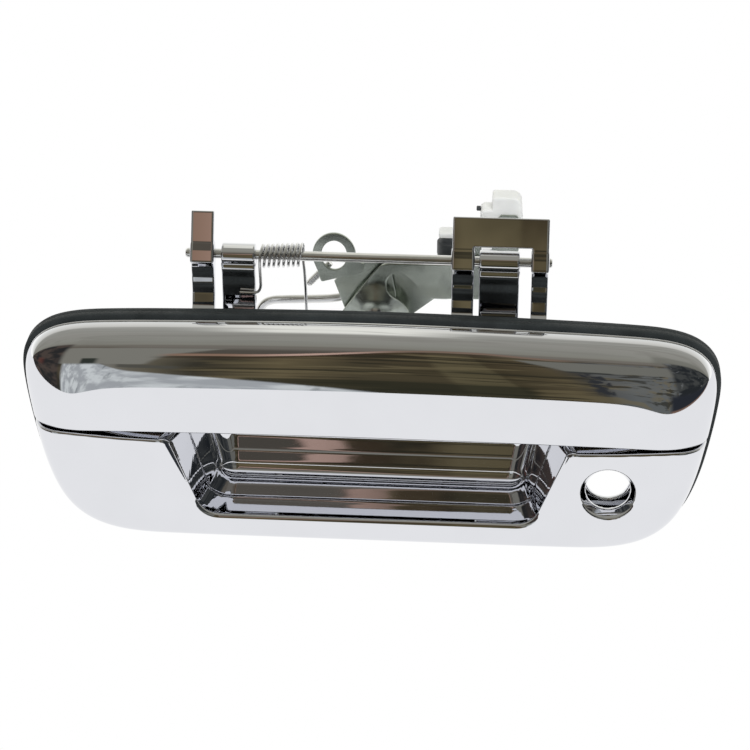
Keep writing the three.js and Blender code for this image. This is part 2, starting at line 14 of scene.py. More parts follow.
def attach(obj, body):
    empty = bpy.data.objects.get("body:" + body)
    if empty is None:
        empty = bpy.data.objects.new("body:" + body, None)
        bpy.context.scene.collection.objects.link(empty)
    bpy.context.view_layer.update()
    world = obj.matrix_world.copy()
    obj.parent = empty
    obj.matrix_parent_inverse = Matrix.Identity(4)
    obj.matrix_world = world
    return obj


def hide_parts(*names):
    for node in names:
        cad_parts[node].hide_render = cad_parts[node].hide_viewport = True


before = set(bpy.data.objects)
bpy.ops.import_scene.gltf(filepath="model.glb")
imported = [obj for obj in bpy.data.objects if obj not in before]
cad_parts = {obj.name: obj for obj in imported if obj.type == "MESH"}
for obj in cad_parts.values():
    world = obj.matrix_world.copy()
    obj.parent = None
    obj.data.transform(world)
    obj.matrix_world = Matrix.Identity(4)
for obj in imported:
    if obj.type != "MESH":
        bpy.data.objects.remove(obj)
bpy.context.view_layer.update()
MM = 0.001

# ------------------------------------------------------------------ dimensions (mm, as in the CAD)
GASKET_T = 7.2
BEZEL_REAR, BEZEL_FRONT = -7.5, -24.0
RAIL_FRONT = -9.3
PADDLE_REAR, PADDLE_FRONT = -9.7, -26.3
PADDLE_BOTTOM = 6.0
LEDGE = ((0, 1.4), (95, 1.4), (112, 2.0), (127, 3.0), (147, 4.6), (170, 5.0))
WALL = 2.5
ZC = -2.6
POCKET_BACK = 12.0
LOCK_X, LOCK_Z, LOCK_R, LOCK_RO = 110.5, -19.0, 10.25, 13.0
PIN_Y, PIN_Z, PIN_R, PIN_X0, PIN_X1 = 15.0, 78.3, 2.25, -85.4, 81.6
KNUCKLE_R = 5.1
EAR_FRONT, TAB_T = 8.6, 3.4
L_FIXED, L_PADDLE = (-82.6, -72.2), (-68.7, -53.4)
R_EAR_A, R_PADDLE, R_EAR_B = (36.3, 46.3), (48.7, 66.9), (72.4, 80.0)
NOTCH_TOP = 52.4
HUB_X, HUB_Z = -0.5, 36.5
RING_X, RING_Z, RING_RX, RING_RZ, RING_HX, RING_HZ = -20.0, 65.5, 10.2, 11.3, 6.0, 7.4

HALF = [(0, 57.0), (40, 56.6), (80, 55.7), (115, 54.6), (134, 53.2), (145.5, 50.2),
        (152.3, 45.6), (156.2, 39.8), (157.7, 32.5), (157.3, 24), (156.3, 15), (155.0, 6), (153.4, -3),
        (151.6, -12), (149.4, -20), (146.6, -28), (142.8, -35.5), (137.3, -42), (129.8, -47),
        (120, -50.3), (108, -51.9), (88, -52.3), (44, -52.4), (0, -52.4)]


# ------------------------------------------------------------------ small helpers
def catmull(points, n, closed=True):
    """n points on a centripetal Catmull-Rom curve through points, evenly spaced."""
    p = np.array(points, float)
    if closed:
        p = np.vstack([p[-1], p, p[0], p[1]])
    else:
        p = np.vstack([2 * p[0] - p[1], p, 2 * p[-1] - p[-2]])
    out = []
    for i in range(1, len(p) - 2):
        t = [0.0]
        for a, b in ((i - 1, i), (i, i + 1), (i + 1, i + 2)):
            t.append(t[-1] + max(np.linalg.norm(p[b] - p[a]), 1e-6) ** 0.5)
        s = np.linspace(t[1], t[2], 24, endpoint=False)[:, None]
        a1 = (t[1] - s) / (t[1] - t[0]) * p[i - 1] + (s - t[0]) / (t[1] - t[0]) * p[i]
        a2 = (t[2] - s) / (t[2] - t[1]) * p[i] + (s - t[1]) / (t[2] - t[1]) * p[i + 1]
        a3 = (t[3] - s) / (t[3] - t[2]) * p[i + 1] + (s - t[2]) / (t[3] - t[2]) * p[i + 2]
        b1 = (t[2] - s) / (t[2] - t[0]) * a1 + (s - t[0]) / (t[2] - t[0]) * a2
        b2 = (t[3] - s) / (t[3] - t[1]) * a2 + (s - t[1]) / (t[3] - t[1]) * a3
        out.append((t[2] - s) / (t[2] - t[1]) * b1 + (s - t[1]) / (t[2] - t[1]) * b2)
    q = np.vstack(out + ([] if closed else [p[-2][None]]))
    loop = np.vstack([q, q[:1]]) if closed else q
    d = np.r_[0, np.cumsum(np.linalg.norm(np.diff(loop, axis=0), axis=1))]
    s = np.linspace(0, d[-1], n + 1)[:-1] if closed else np.linspace(0, d[-1], n)
    return np.stack([np.interp(s, d, loop[:, k]) for k in range(p.shape[1])], 1)


def smooth_loop(q, rounds):
    for _ in range(rounds):
        q = 0.25 * np.roll(q, 1, 0) + 0.5 * q + 0.25 * np.roll(q, -1, 0)
    return q


LEFT_HALF = [(-x, z) for x, z in HALF[1:-1]][::-1]
OUTLINE = smooth_loop(catmull(HALF + LEFT_HALF, 720), 40)


def poly_sd(px, pz, poly):
    """Signed distance from points to a closed polygon, negative inside."""
    shape = np.broadcast(px, pz).shape
    x = np.broadcast_to(px, shape).ravel().astype(np.float32)
    z = np.broadcast_to(pz, shape).ravel().astype(np.float32)
    best = np.full(x.shape, 1e9, np.float32)
    inside = np.zeros(x.shape, bool)
    a = np.asarray(poly, np.float32)
    b = np.roll(a, -1, 0)
    for (ax, az), (bx, bz) in zip(a, b):
        ex, ez = bx - ax, bz - az
        wx, wz = x - ax, z - az
        t = np.clip((wx * ex + wz * ez) / max(ex * ex + ez * ez, 1e-12), 0, 1)
        dx, dz = wx - t * ex, wz - t * ez
        np.minimum(best, dx * dx + dz * dz, out=best)
        cond = (az > z) != (bz > z)
        if ez != 0:
            inside ^= cond & (x < ex * (z - az) / ez + ax)
    d = np.sqrt(best)
    return np.where(inside, -d, d).reshape(shape)


def r_and(a, b, r):
    """Overlap of two solids with a rounded edge of radius r."""
    return np.minimum(np.maximum(a, b), -r) + np.sqrt(np.maximum(a + r, 0) ** 2 + np.maximum(b + r, 0) ** 2)


def r_or(a, b, r):
    """Union of two solids with a fillet of radius r."""
    return np.maximum(np.minimum(a, b), r) - np.sqrt(np.maximum(r - a, 0) ** 2 + np.maximum(r - b, 0) ** 2)


def r_cut(a, b, r):
    return r_and(a, -b, r)


def span(v, lo, hi):
    return np.abs(v - (lo + hi) / 2) - (hi - lo) / 2


class Grid:
    def __init__(self, lo, hi, h):
        self.lo, self.h = np.array(lo, float), h
        n = [int(math.ceil((b - a) / h)) + 1 for a, b in zip(lo, hi)]
        ax = [np.float32(a) + np.arange(k, dtype=np.float32) * np.float32(h) for a, k in zip(lo, n)]
        self.X, self.Y, self.Z = ax[0][:, None, None], ax[1][None, :, None], ax[2][None, None, :]
        self.x, self.y, self.z = ax
        self.shape = tuple(n)

    def xz(self, f):
        """2D field of X and Z spread over the grid."""
        return f(self.x[:, None], self.z[None, :])[:, None, :]

    def yz(self, f):
        return f(self.y[:, None], self.z[None, :])[None, :, :]

    def xy(self, f):
        return f(self.x[:, None], self.y[None, :])[:, :, None]


def sample(F, p):
    """Trilinear sample of F at p in grid units."""
    n = np.array(F.shape)
    p = np.clip(p, 0, n - 1.001)
    i = p.astype(np.int32)
    f = (p - i).astype(np.float32)
    out = 0
    for dx in (0, 1):
        wx = f[:, 0] if dx else 1 - f[:, 0]
        for dy in (0, 1):
            wy = f[:, 1] if dy else 1 - f[:, 1]
            for dz in (0, 1):
                wz = f[:, 2] if dz else 1 - f[:, 2]
                out = out + wx * wy * wz * F[i[:, 0] + dx, i[:, 1] + dy, i[:, 2] + dz]
    return out


def gradient(F, p, e):
    g = np.empty((len(p), 3), np.float32)
    for k in range(3):
        d = np.zeros(3)
        d[k] = e
        g[:, k] = (sample(F, p + d) - sample(F, p - d)) / (2 * e)
    return g


def surface(F, grid, normal_step=0.8):
    """Vertices (mm), quads and unit normals of the zero level of F, by surface nets with projection."""
    F = np.broadcast_to(F, grid.shape).astype(np.float32)
    F = np.ascontiguousarray(F)
    for k, edge in ((0, 0), (0, -1), (1, 0), (1, -1), (2, 0), (2, -1)):   # closed at the grid's walls
        sl = [slice(None)] * 3
        sl[k] = edge
        F[tuple(sl)] = np.maximum(F[tuple(sl)], 0.01)
    s = F < 0
    count = np.zeros([n - 1 for n in F.shape], np.int8)
    for dx in (0, 1):
        for dy in (0, 1):
            for dz in (0, 1):
                count += s[dx:F.shape[0] - 1 + dx, dy:F.shape[1] - 1 + dy, dz:F.shape[2] - 1 + dz]
    I, J, K = np.nonzero((count > 0) & (count < 8))
    index = np.full(count.shape, -1, np.int32)
    index[I, J, K] = np.arange(len(I))
    corner = {c: F[I + c[0], J + c[1], K + c[2]] for c in
              [(a, b, c) for a in (0, 1) for b in (0, 1) for c in (0, 1)]}
    acc = np.zeros((len(I), 3))
    n = np.zeros(len(I))
    for a in corner:
        for k in range(3):
            if a[k]:
                continue
            b = tuple(1 if q == k else a[q] for q in range(3))
            va, vb = corner[a], corner[b]
            cross = (va < 0) != (vb < 0)
            t = np.where(cross, va / np.where(cross, va - vb, 1), 0)
            for q in range(3):
                acc[:, q] += np.where(cross, a[q] + (t if q == k else 0), 0)
            n += cross
    P = acc / n[:, None] + np.stack([I, J, K], 1)
    for _ in range(3):
        f = sample(F, P)
        g = gradient(F, P, 0.5)
        m = np.maximum((g * g).sum(1), 1e-4)
        step = (f / m)[:, None] * g
        size = np.linalg.norm(step, axis=1, keepdims=True)
        step *= np.minimum(1, 0.45 / np.maximum(size, 1e-9))
        P = P - step
    N = gradient(F, P, normal_step)
    N /= np.maximum(np.linalg.norm(N, axis=1, keepdims=True), 1e-9)
    quads = []
    for k in range(3):
        u, v = (k + 1) % 3, (k + 2) % 3
        sl0 = [slice(None)] * 3
        sl1 = [slice(None)] * 3
        sl0[k], sl1[k] = slice(0, -1), slice(1, None)
        a, b = s[tuple(sl0)], s[tuple(sl1)]
        e = np.stack(np.nonzero(a != b), 1)
        ok = (e[:, u] > 0) & (e[:, v] > 0) & (e[:, u] < F.shape[u] - 1) & (e[:, v] < F.shape[v] - 1)
        e = e[ok]
        inside = a[e[:, 0], e[:, 1], e[:, 2]]
        c = []
        for du, dv in ((-1, -1), (0, -1), (0, 0), (-1, 0)):
            q = e.copy()
            q[:, u] += du
            q[:, v] += dv
            c.append(index[q[:, 0], q[:, 1], q[:, 2]])
        c = np.stack(c, 1)
        c[~inside] = c[~inside][:, ::-1]
        quads.append(c)
    quads = np.vstack(quads)
    return P * grid.h + grid.lo, quads, N


def mesh_object(name, verts_mm, faces, normals=None, smooth=True):
    me = bpy.data.meshes.new(name)
    v = np.asarray(verts_mm, np.float32) * np.float32(MM)
    faces = np.asarray(faces, np.int32)
    me.vertices.add(len(v))
    me.vertices.foreach_set("co", v.ravel())
    k = faces.shape[1]
    me.loops.add(faces.size)
    me.loops.foreach_set("vertex_index", faces.ravel())
    me.polygons.add(len(faces))
    me.polygons.foreach_set("loop_start", np.arange(0, faces.size, k, dtype=np.int32))
    me.polygons.foreach_set("loop_total", np.full(len(faces), k, np.int32))
    me.update(calc_edges=True)
    me.validate(clean_customdata=False)
    if smooth:
        me.polygons.foreach_set("use_smooth", np.ones(len(me.polygons), bool))
    if normals is not None and len(me.vertices) == len(v):
        me.normals_split_custom_set_from_vertices(np.asarray(normals, np.float32).tolist())
    ob = bpy.data.objects.new(name, me)
    bpy.context.scene.collection.objects.link(ob)
    return ob


def field_object(name, F, grid, **kw):
    v, q, n = surface(F, grid, **kw)
    return mesh_object(name, v, q, n)


def from_pydata(name, verts_mm, faces, smooth=True):
    me = bpy.data.meshes.new(name)
    me.from_pydata([Vector(v) * MM for v in verts_mm], [], faces)
    me.update()
    if smooth:
        me.polygons.foreach_set("use_smooth", np.ones(len(me.polygons), bool))
    ob = bpy.data.objects.new(name, me)
    bpy.context.scene.collection.objects.link(ob)
    return ob


def to_mesh(ob, name):
    """Turns a curve or modified object into a plain mesh object of that name."""
    bpy.context.view_layer.update()
    dg = bpy.context.evaluated_depsgraph_get()
    me = bpy.data.meshes.new_from_object(ob.evaluated_get(dg), depsgraph=dg)
    me.transform(ob.matrix_world)
    bpy.data.objects.remove(ob)
    new = bpy.data.objects.new(name, me)
    me.name = name
    bpy.context.scene.collection.objects.link(new)
    return new


def smooth_by_angle(ob, deg=35):
    me = ob.data
    me.polygons.foreach_set("use_smooth", np.ones(len(me.polygons), bool))
    me.set_sharp_from_angle(angle=math.radians(deg))


def stamping(name, outline, y0, y1, holes=(), bevel=0.35, segs=3):
    """Flat stamped plate: outline in X, Z, thickness along Y, rolled edges."""
    cu = bpy.data.curves.new(name + ".c", "CURVE")
    cu.dimensions = "2D"
    cu.fill_mode = "BOTH"
    for loop in [outline, *holes]:
        sp = cu.splines.new("POLY")
        sp.points.add(len(loop) - 1)
        for p, (x, z) in zip(sp.points, loop):
            p.co = (x * MM, z * MM, 0, 1)
        sp.use_cyclic_u = True
    cu.extrude = ((y1 - y0) / 2 - bevel) * MM
    cu.bevel_depth = bevel * MM
    cu.bevel_resolution = segs
    cu.offset = -bevel * MM
    ob = bpy.data.objects.new(name + ".c", cu)
    bpy.context.scene.collection.objects.link(ob)
    ob.matrix_world = Matrix.Translation((0, (y0 + y1) / 2 * MM, 0)) @ Matrix.Rotation(math.radians(90), 4, "X")
    ob = to_mesh(ob, name)
    smooth_by_angle(ob, 40)
    return ob


def circle(x, z, r, n=48, a0=0.0):
    return [(x + r * math.cos(a0 + 2 * math.pi * i / n), z + r * math.sin(a0 + 2 * math.pi * i / n)) for i in range(n)]


def arc(x, z, r, d0, d1, n=16):
    return [(x + r * math.cos(math.radians(d0 + (d1 - d0) * i / n)),
             z + r * math.sin(math.radians(d0 + (d1 - d0) * i / n))) for i in range(n + 1)]


def fillet(points, r, n=6):
    """Polygon with its corners rounded; r is one radius or one per corner."""
    out = []
    m = len(points)
    for i, p in enumerate(points):
        ri = r[i] if hasattr(r, "__len__") else r
        p = np.array(p, float)
        a, b = np.array(points[i - 1], float) - p, np.array(points[(i + 1) % m], float) - p
        la, lb = np.linalg.norm(a), np.linalg.norm(b)
        a, b = a / la, b / lb
        ang = math.acos(max(-1, min(1, float(a @ b))))
        if ri <= 0 or ang > math.pi - 0.02:
            out.append(tuple(p))
            continue
        t = min(ri / math.tan(ang / 2), la * 0.49, lb * 0.49)
        ri = t * math.tan(ang / 2)
        c = p + (a + b) / np.linalg.norm(a + b) * (ri / math.sin(ang / 2))
        s, e = p + a * t - c, p + b * t - c
        a0, a1 = math.atan2(s[1], s[0]), math.atan2(e[1], e[0])
        while a1 - a0 > math.pi:
            a1 -= 2 * math.pi
        while a1 - a0 < -math.pi:
            a1 += 2 * math.pi
        out += [(c[0] + ri * math.cos(a0 + (a1 - a0) * k / n), c[1] + ri * math.sin(a0 + (a1 - a0) * k / n))
                for k in range(n + 1)]
    return out


def lathe(name, profile, axis, centre, n=64):
    """profile of (r, t) turned about an axis through centre; t runs along the axis."""
    prof = np.array(profile, float)
    verts, faces, rings = [], [], []
    c = np.array(centre, float)
    k = "XYZ".index(axis)
    u, v = [(1, 2), (2, 0), (0, 1)][k]
    for r, t in prof:
        if r < 1e-6:
            p = c.copy(); p[k] = t
            rings.append([len(verts)]); verts.append(p)
        else:
            ring = []
            for i in range(n):
                a = 2 * math.pi * i / n
                p = c.copy(); p[k] = t; p[u] += r * math.cos(a); p[v] += r * math.sin(a)
                ring.append(len(verts)); verts.append(p)
            rings.append(ring)
    closed = prof[0][0] > 1e-6
    pairs = list(zip(rings[:-1], rings[1:])) + ([(rings[-1], rings[0])] if closed else [])
    for A, B in pairs:
        if len(A) == 1 and len(B) == 1:
            continue
        for i in range(n):
            j = (i + 1) % n
            if len(A) == 1:
                faces.append((A[0], B[j], B[i]))
            elif len(B) == 1:
                faces.append((A[i], A[j], B[0]))
            else:
                faces.append((A[i], A[j], B[j], B[i]))
    ob = from_pydata(name, verts, faces)
    import bmesh
    bm = bmesh.new(); bm.from_mesh(ob.data)
    bmesh.ops.recalc_face_normals(bm, faces=bm.faces)
    bm.to_mesh(ob.data); bm.free()
    smooth_by_angle(ob, 32)
    return ob


def round_profile(points, r, n=4):
    """Open profile with rounded inner corners."""
    out = [tuple(points[0])]
    for i in range(1, len(points) - 1):
        p = np.array(points[i], float)
        a, b = np.array(points[i - 1], float) - p, np.array(points[i + 1], float) - p
        la, lb = np.linalg.norm(a), np.linalg.norm(b)
        a, b = a / la, b / lb
        ang = math.acos(max(-1, min(1, float(a @ b))))
        if ang > math.pi - 0.05:
            out.append(tuple(p)); continue
        t = min(r / math.tan(ang / 2), la * 0.45, lb * 0.45)
        s, e = p + a * t, p + b * t
        for k in range(n + 1):
            w = k / n
            q = (1 - w) ** 2 * s + 2 * w * (1 - w) * p + w * w * e
            out.append(tuple(q))
    out.append(tuple(points[-1]))
    return out


def wire(name, points, r, res=10, steps=None, cap=True):
    """Round wire through points."""
    steps = steps or len(points) * 8
    q = catmull(points, steps, closed=False)
    cu = bpy.data.curves.new(name + ".c", "CURVE")
    cu.dimensions = "3D"
    sp = cu.splines.new("POLY")
    sp.points.add(len(q) - 1)
    for p, c in zip(sp.points, q):
        p.co = (c[0] * MM, c[1] * MM, c[2] * MM, 1)
    cu.bevel_depth = r * MM
    cu.bevel_resolution = res // 2
    cu.use_fill_caps = True
    ob = bpy.data.objects.new(name + ".c", cu)
    bpy.context.scene.collection.objects.link(ob)
    ob = to_mesh(ob, name)
    smooth_by_angle(ob, 50)
    return ob


# ------------------------------------------------------------------ materials
def new_material(name):
    m = bpy.data.materials.new(name)
    m.use_nodes = True
    nt = m.node_tree
    b = nt.nodes["Principled BSDF"]
    return m, nt, b


def add(nt, kind, **inputs):
    n = nt.nodes.new(kind)
    for k, v in inputs.items():
        if k in n.inputs:
            n.inputs[k].default_value = v
        else:
            setattr(n, k, v)
    return n


def coords(nt, scale):
    t = nt.nodes.new("ShaderNodeTexCoord")
    mp = nt.nodes.new("ShaderNodeMapping")
    mp.inputs["Scale"].default_value = scale if hasattr(scale, "__len__") else (scale,) * 3
    nt.links.new(t.outputs["Object"], mp.inputs["Vector"])
    return mp.outputs["Vector"]


def ramp(nt, fac, stops):
    r = nt.nodes.new("ShaderNodeValToRGB")
    r.color_ramp.interpolation = "LINEAR"
    while len(r.color_ramp.elements) < len(stops):
        r.color_ramp.elements.new(0.5)
    for e, (p, c) in zip(r.color_ramp.elements, stops):
        e.position = p
        e.color = (*c, 1) if hasattr(c, "__len__") else (c, c, c, 1)
    nt.links.new(fac, r.inputs["Fac"])
    return r.outputs["Color"]


def noise(nt, vec, scale, detail=4, rough=0.55):
    n = nt.nodes.new("ShaderNodeTexNoise")
    n.inputs["Scale"].default_value = scale
    n.inputs["Detail"].default_value = detail
    n.inputs["Roughness"].default_value = rough
    nt.links.new(vec, n.inputs["Vector"])
    return n.outputs["Fac"]


def bump(nt, bsdf, height, strength, distance):
    b = nt.nodes.new("ShaderNodeBump")
    b.inputs["Strength"].default_value = strength
    b.inputs["Distance"].default_value = distance
    nt.links.new(height, b.inputs["Height"])
    nt.links.new(b.outputs["Normal"], bsdf.inputs["Normal"])
    return b


CHROME_BASE = (0.752, 0.760, 0.791)


def chrome_material():
    m, nt, b = new_material("chrome_plate")
    b.inputs["Metallic"].default_value = 1.0
    v = coords(nt, 1.0)
    # thin haze and finger marks: roughness drifts slowly, a few finer streaks
    n1 = noise(nt, v, 38.0, 3, 0.5)
    n2 = noise(nt, coords(nt, (260.0, 420.0, 420.0)), 1.0, 5, 0.6)
    mix = add(nt, "ShaderNodeMath", operation="MULTIPLY")
    nt.links.new(n1, mix.inputs[0]); nt.links.new(n2, mix.inputs[1])
    rr = ramp(nt, mix.outputs[0], [(0.15, 0.012), (0.45, 0.04)])
    nt.links.new(rr, b.inputs["Roughness"])
    col = ramp(nt, n1, [(0.3, tuple(c * 0.985 for c in CHROME_BASE)), (0.7, tuple(c * 1.01 for c in CHROME_BASE))])
    nt.links.new(col, b.inputs["Base Color"])
    return m


def rubber_material(name="foam_rubber", base=0.022):
    m, nt, b = new_material(name)
    v = coords(nt, 1.0)
    n1 = noise(nt, v, 900.0, 4, 0.6)
    n2 = noise(nt, v, 60.0, 3, 0.5)
    col = ramp(nt, n2, [(0.3, (base * 0.8, base * 0.95, base)), (0.7, (base * 1.5, base * 1.75, base * 1.85))])
    nt.links.new(col, b.inputs["Base Color"])
    rr = ramp(nt, n1, [(0.3, 0.62), (0.7, 0.86)])
    nt.links.new(rr, b.inputs["Roughness"])
    b.inputs["Specular IOR Level"].default_value = 0.35
    bump(nt, b, n1, 0.35, 0.0003)
    return m


def zinc_material(name="zinc_stamping", dark=(0.33, 0.36, 0.32), light=(0.56, 0.60, 0.54), lo=0.10, hi=0.24):
    m, nt, b = new_material(name)
    b.inputs["Metallic"].default_value = 1.0
    v = coords(nt, 1.0)
    n1 = noise(nt, v, 55.0, 4, 0.6)
    n2 = noise(nt, coords(nt, (1500.0, 1500.0, 160.0)), 1.0, 3, 0.5)
    n3 = noise(nt, v, 260.0, 5, 0.65)
    col = ramp(nt, n1, [(0.3, dark), (0.7, light)])
    nt.links.new(col, b.inputs["Base Color"])
    mixn = add(nt, "ShaderNodeMath", operation="ADD")
    nt.links.new(n2, mixn.inputs[0]); nt.links.new(n3, mixn.inputs[1])
    rr = ramp(nt, mixn.outputs[0], [(0.35, lo), (0.65, hi)])
    nt.links.new(rr, b.inputs["Roughness"])
    bump(nt, b, n3, 0.10, 0.0002)
    return m


def steel_material(name="bright_steel", base=(0.70, 0.70, 0.69), lo=0.10, hi=0.24, along=0):
    m, nt, b = new_material(name)
    b.inputs["Metallic"].default_value = 1.0
    sc = [900.0, 900.0, 900.0]
    sc[along] = 40.0
    n1 = noise(nt, coords(nt, tuple(sc)), 1.0, 3, 0.5)
    n2 = noise(nt, coords(nt, 1.0), 70.0, 3, 0.5)
    col = ramp(nt, n2, [(0.3, tuple(c * 0.88 for c in base)), (0.7, tuple(min(1, c * 1.08) for c in base))])
    nt.links.new(col, b.inputs["Base Color"])
    rr = ramp(nt, n1, [(0.3, lo), (0.7, hi)])
    nt.links.new(rr, b.inputs["Roughness"])
    return m


def nylon_material():
    m, nt, b = new_material("natural_nylon")
    v = coords(nt, 1.0)
    n1 = noise(nt, v, 90.0, 3, 0.5)
    n2 = noise(nt, v, 1400.0, 2, 0.5)
    col = ramp(nt, n1, [(0.3, (0.80, 0.815, 0.81)), (0.7, (0.88, 0.89, 0.885))])
    nt.links.new(col, b.inputs["Base Color"])
    b.inputs["Subsurface Weight"].default_value = 0.35
    b.inputs["Subsurface Radius"].default_value = (0.004, 0.004, 0.0038)
    b.inputs["Subsurface Scale"].default_value = 0.6
    rr = ramp(nt, n1, [(0.3, 0.36), (0.7, 0.5)])
    nt.links.new(rr, b.inputs["Roughness"])
    bump(nt, b, n2, 0.06, 0.0002)
    return m


def black_material():
    m, nt, b = new_material("black_plastic")
    v = coords(nt, 1.0)
    n1 = noise(nt, v, 1100.0, 3, 0.6)
    n2 = noise(nt, v, 80.0, 3, 0.5)
    col = ramp(nt, n2, [(0.3, (0.028, 0.031, 0.034)), (0.7, (0.05, 0.054, 0.058))])
    nt.links.new(col, b.inputs["Base Color"])
    rr = ramp(nt, n1, [(0.3, 0.38), (0.7, 0.55)])
    nt.links.new(rr, b.inputs["Roughness"])
    bump(nt, b, n1, 0.15, 0.0002)
    return m


CHROME = chrome_material()
RUBBER = rubber_material()
ZINC = zinc_material()
STEEL = steel_material()
SPRING = steel_material("spring_wire", (0.76, 0.76, 0.76), 0.12, 0.22)
NYLON = nylon_material()
BLACK = black_material()
SLOTS = {"chrome": CHROME, "rubber": RUBBER, "zinc": ZINC, "steel": STEEL, "spring_steel": SPRING,
         "nylon": NYLON, "black_plastic": BLACK}


def dress(ob, slot, material=None):
    ob.data.materials.clear()
    ob.data.materials.append(material or SLOTS[slot])
    return ob


def finish_piece(ob, body, slot, nodes, material=None):
    dress(ob, slot, material)
    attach(ob, body)
    if nodes:
        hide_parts(*([nodes] if isinstance(nodes, str) else nodes))
    return ob


# ------------------------------------------------------------------ crowned outline field
_ang = np.arctan2(OUTLINE[:, 1] - ZC, OUTLINE[:, 0])
_rad = np.hypot(OUTLINE[:, 0], OUTLINE[:, 1] - ZC)
_o = np.argsort(_ang)
_ang, _rad = _ang[_o], _rad[_o]
_ang = np.r_[_ang[-1] - 2 * math.pi, _ang, _ang[0] + 2 * math.pi]
_rad = np.r_[_rad[-1], _rad, _rad[0]]


def depth_in(x, z, sx, sz):
    """u: 1 on the outline, 0 on the core (the outline scaled by sx, sz), above 1 outside, below 0 inside."""
    x, z = np.broadcast_arrays(np.asarray(x, float), np.asarray(z, float) - ZC)
    lo, hi = np.full(x.shape, -0.6), np.full(x.shape, 1.6)
    for _ in range(34):
        f = (lo + hi) / 2
        px, pz = x / (1 - f * (1 - sx)), z / (1 - f * (1 - sz))
        out = np.hypot(px, pz) > np.interp(np.arctan2(pz, px), _ang, _rad)
        hi = np.where(out, f, hi)
        lo = np.where(out, lo, f)
    return 1 - (lo + hi) / 2


def crowned(grid, sx, sz, y_rear, y_front, power=2.2, bulge=None):
    """Approximate distance to the crowned body in front of y_rear (straight sided behind it)."""
    u = grid.xz(lambda x, z: depth_in(x, z, sx, sz)).astype(np.float32)
    D = y_rear - y_front
    front = np.float32(0)
    if bulge is not None:
        front = grid.xz(bulge).astype(np.float32)
    w = (np.float32(y_rear) - grid.Y) / (D + front)
    G = (np.maximum(u, 0) ** power + np.maximum(w, 0) ** power) ** (1 / power) - 1
    G = G.astype(np.float32)
    gx, gy, gz = np.gradient(G, grid.h)
    m = np.sqrt(gx * gx + gy * gy + gz * gz)
    return G / np.maximum(m, 0.004)


SX_B, SZ_B, SX_P, SZ_P = 0.915, 0.85, 0.82, 0.53
STUDS = [(-124, 22), (124, 22)]
BOSSES = [(-17, 2), (17, 2), (0, -17)]


# ------------------------------------------------------------------ bezel
def pocket_field(grid, d, back):
    """Distance-like field of the finger pocket's inside, grown by d."""
    mouth = [(93.6, 5), (90, 31), (-90, 31), (-93.6, 5), (-76.3, -37.0), (76.3, -37.0)]
    rear = [(76.5, 5), (76, 27), (-76, 27), (-76.5, 5), (-71.2, -35.4), (71.2, -35.4)]
    rm, rr = [20, 12, 12, 20, 11, 11], [20, 9, 9, 20, 8, 8]
    ys = np.linspace(-24, back, 9)
    planes = []
    for y in ys:
        f = (y + 24) / (POCKET_BACK + 24)
        pts = [(a[0] + (b[0] - a[0]) * f, a[1] + (b[1] - a[1]) * f) for a, b in zip(mouth, rear)]
        rad = [a + (b - a) * f for a, b in zip(rm, rr)]
        loop = fillet(pts, rad, 6)
        planes.append(poly_sd(grid.x[:, None], grid.z[None, :], loop))
    planes = np.stack(planes, 0)
    t = np.clip((grid.y - ys[0]) / (ys[-1] - ys[0]) * (len(ys) - 1), 0, len(ys) - 1.0001)
    i = t.astype(int)
    w = (t - i).astype(np.float32)
    side = planes[i] * (1 - w)[:, None, None] + planes[i + 1] * w[:, None, None]
    side = np.moveaxis(side, 0, 1) * np.float32(0.95) - np.float32(d)
    return side


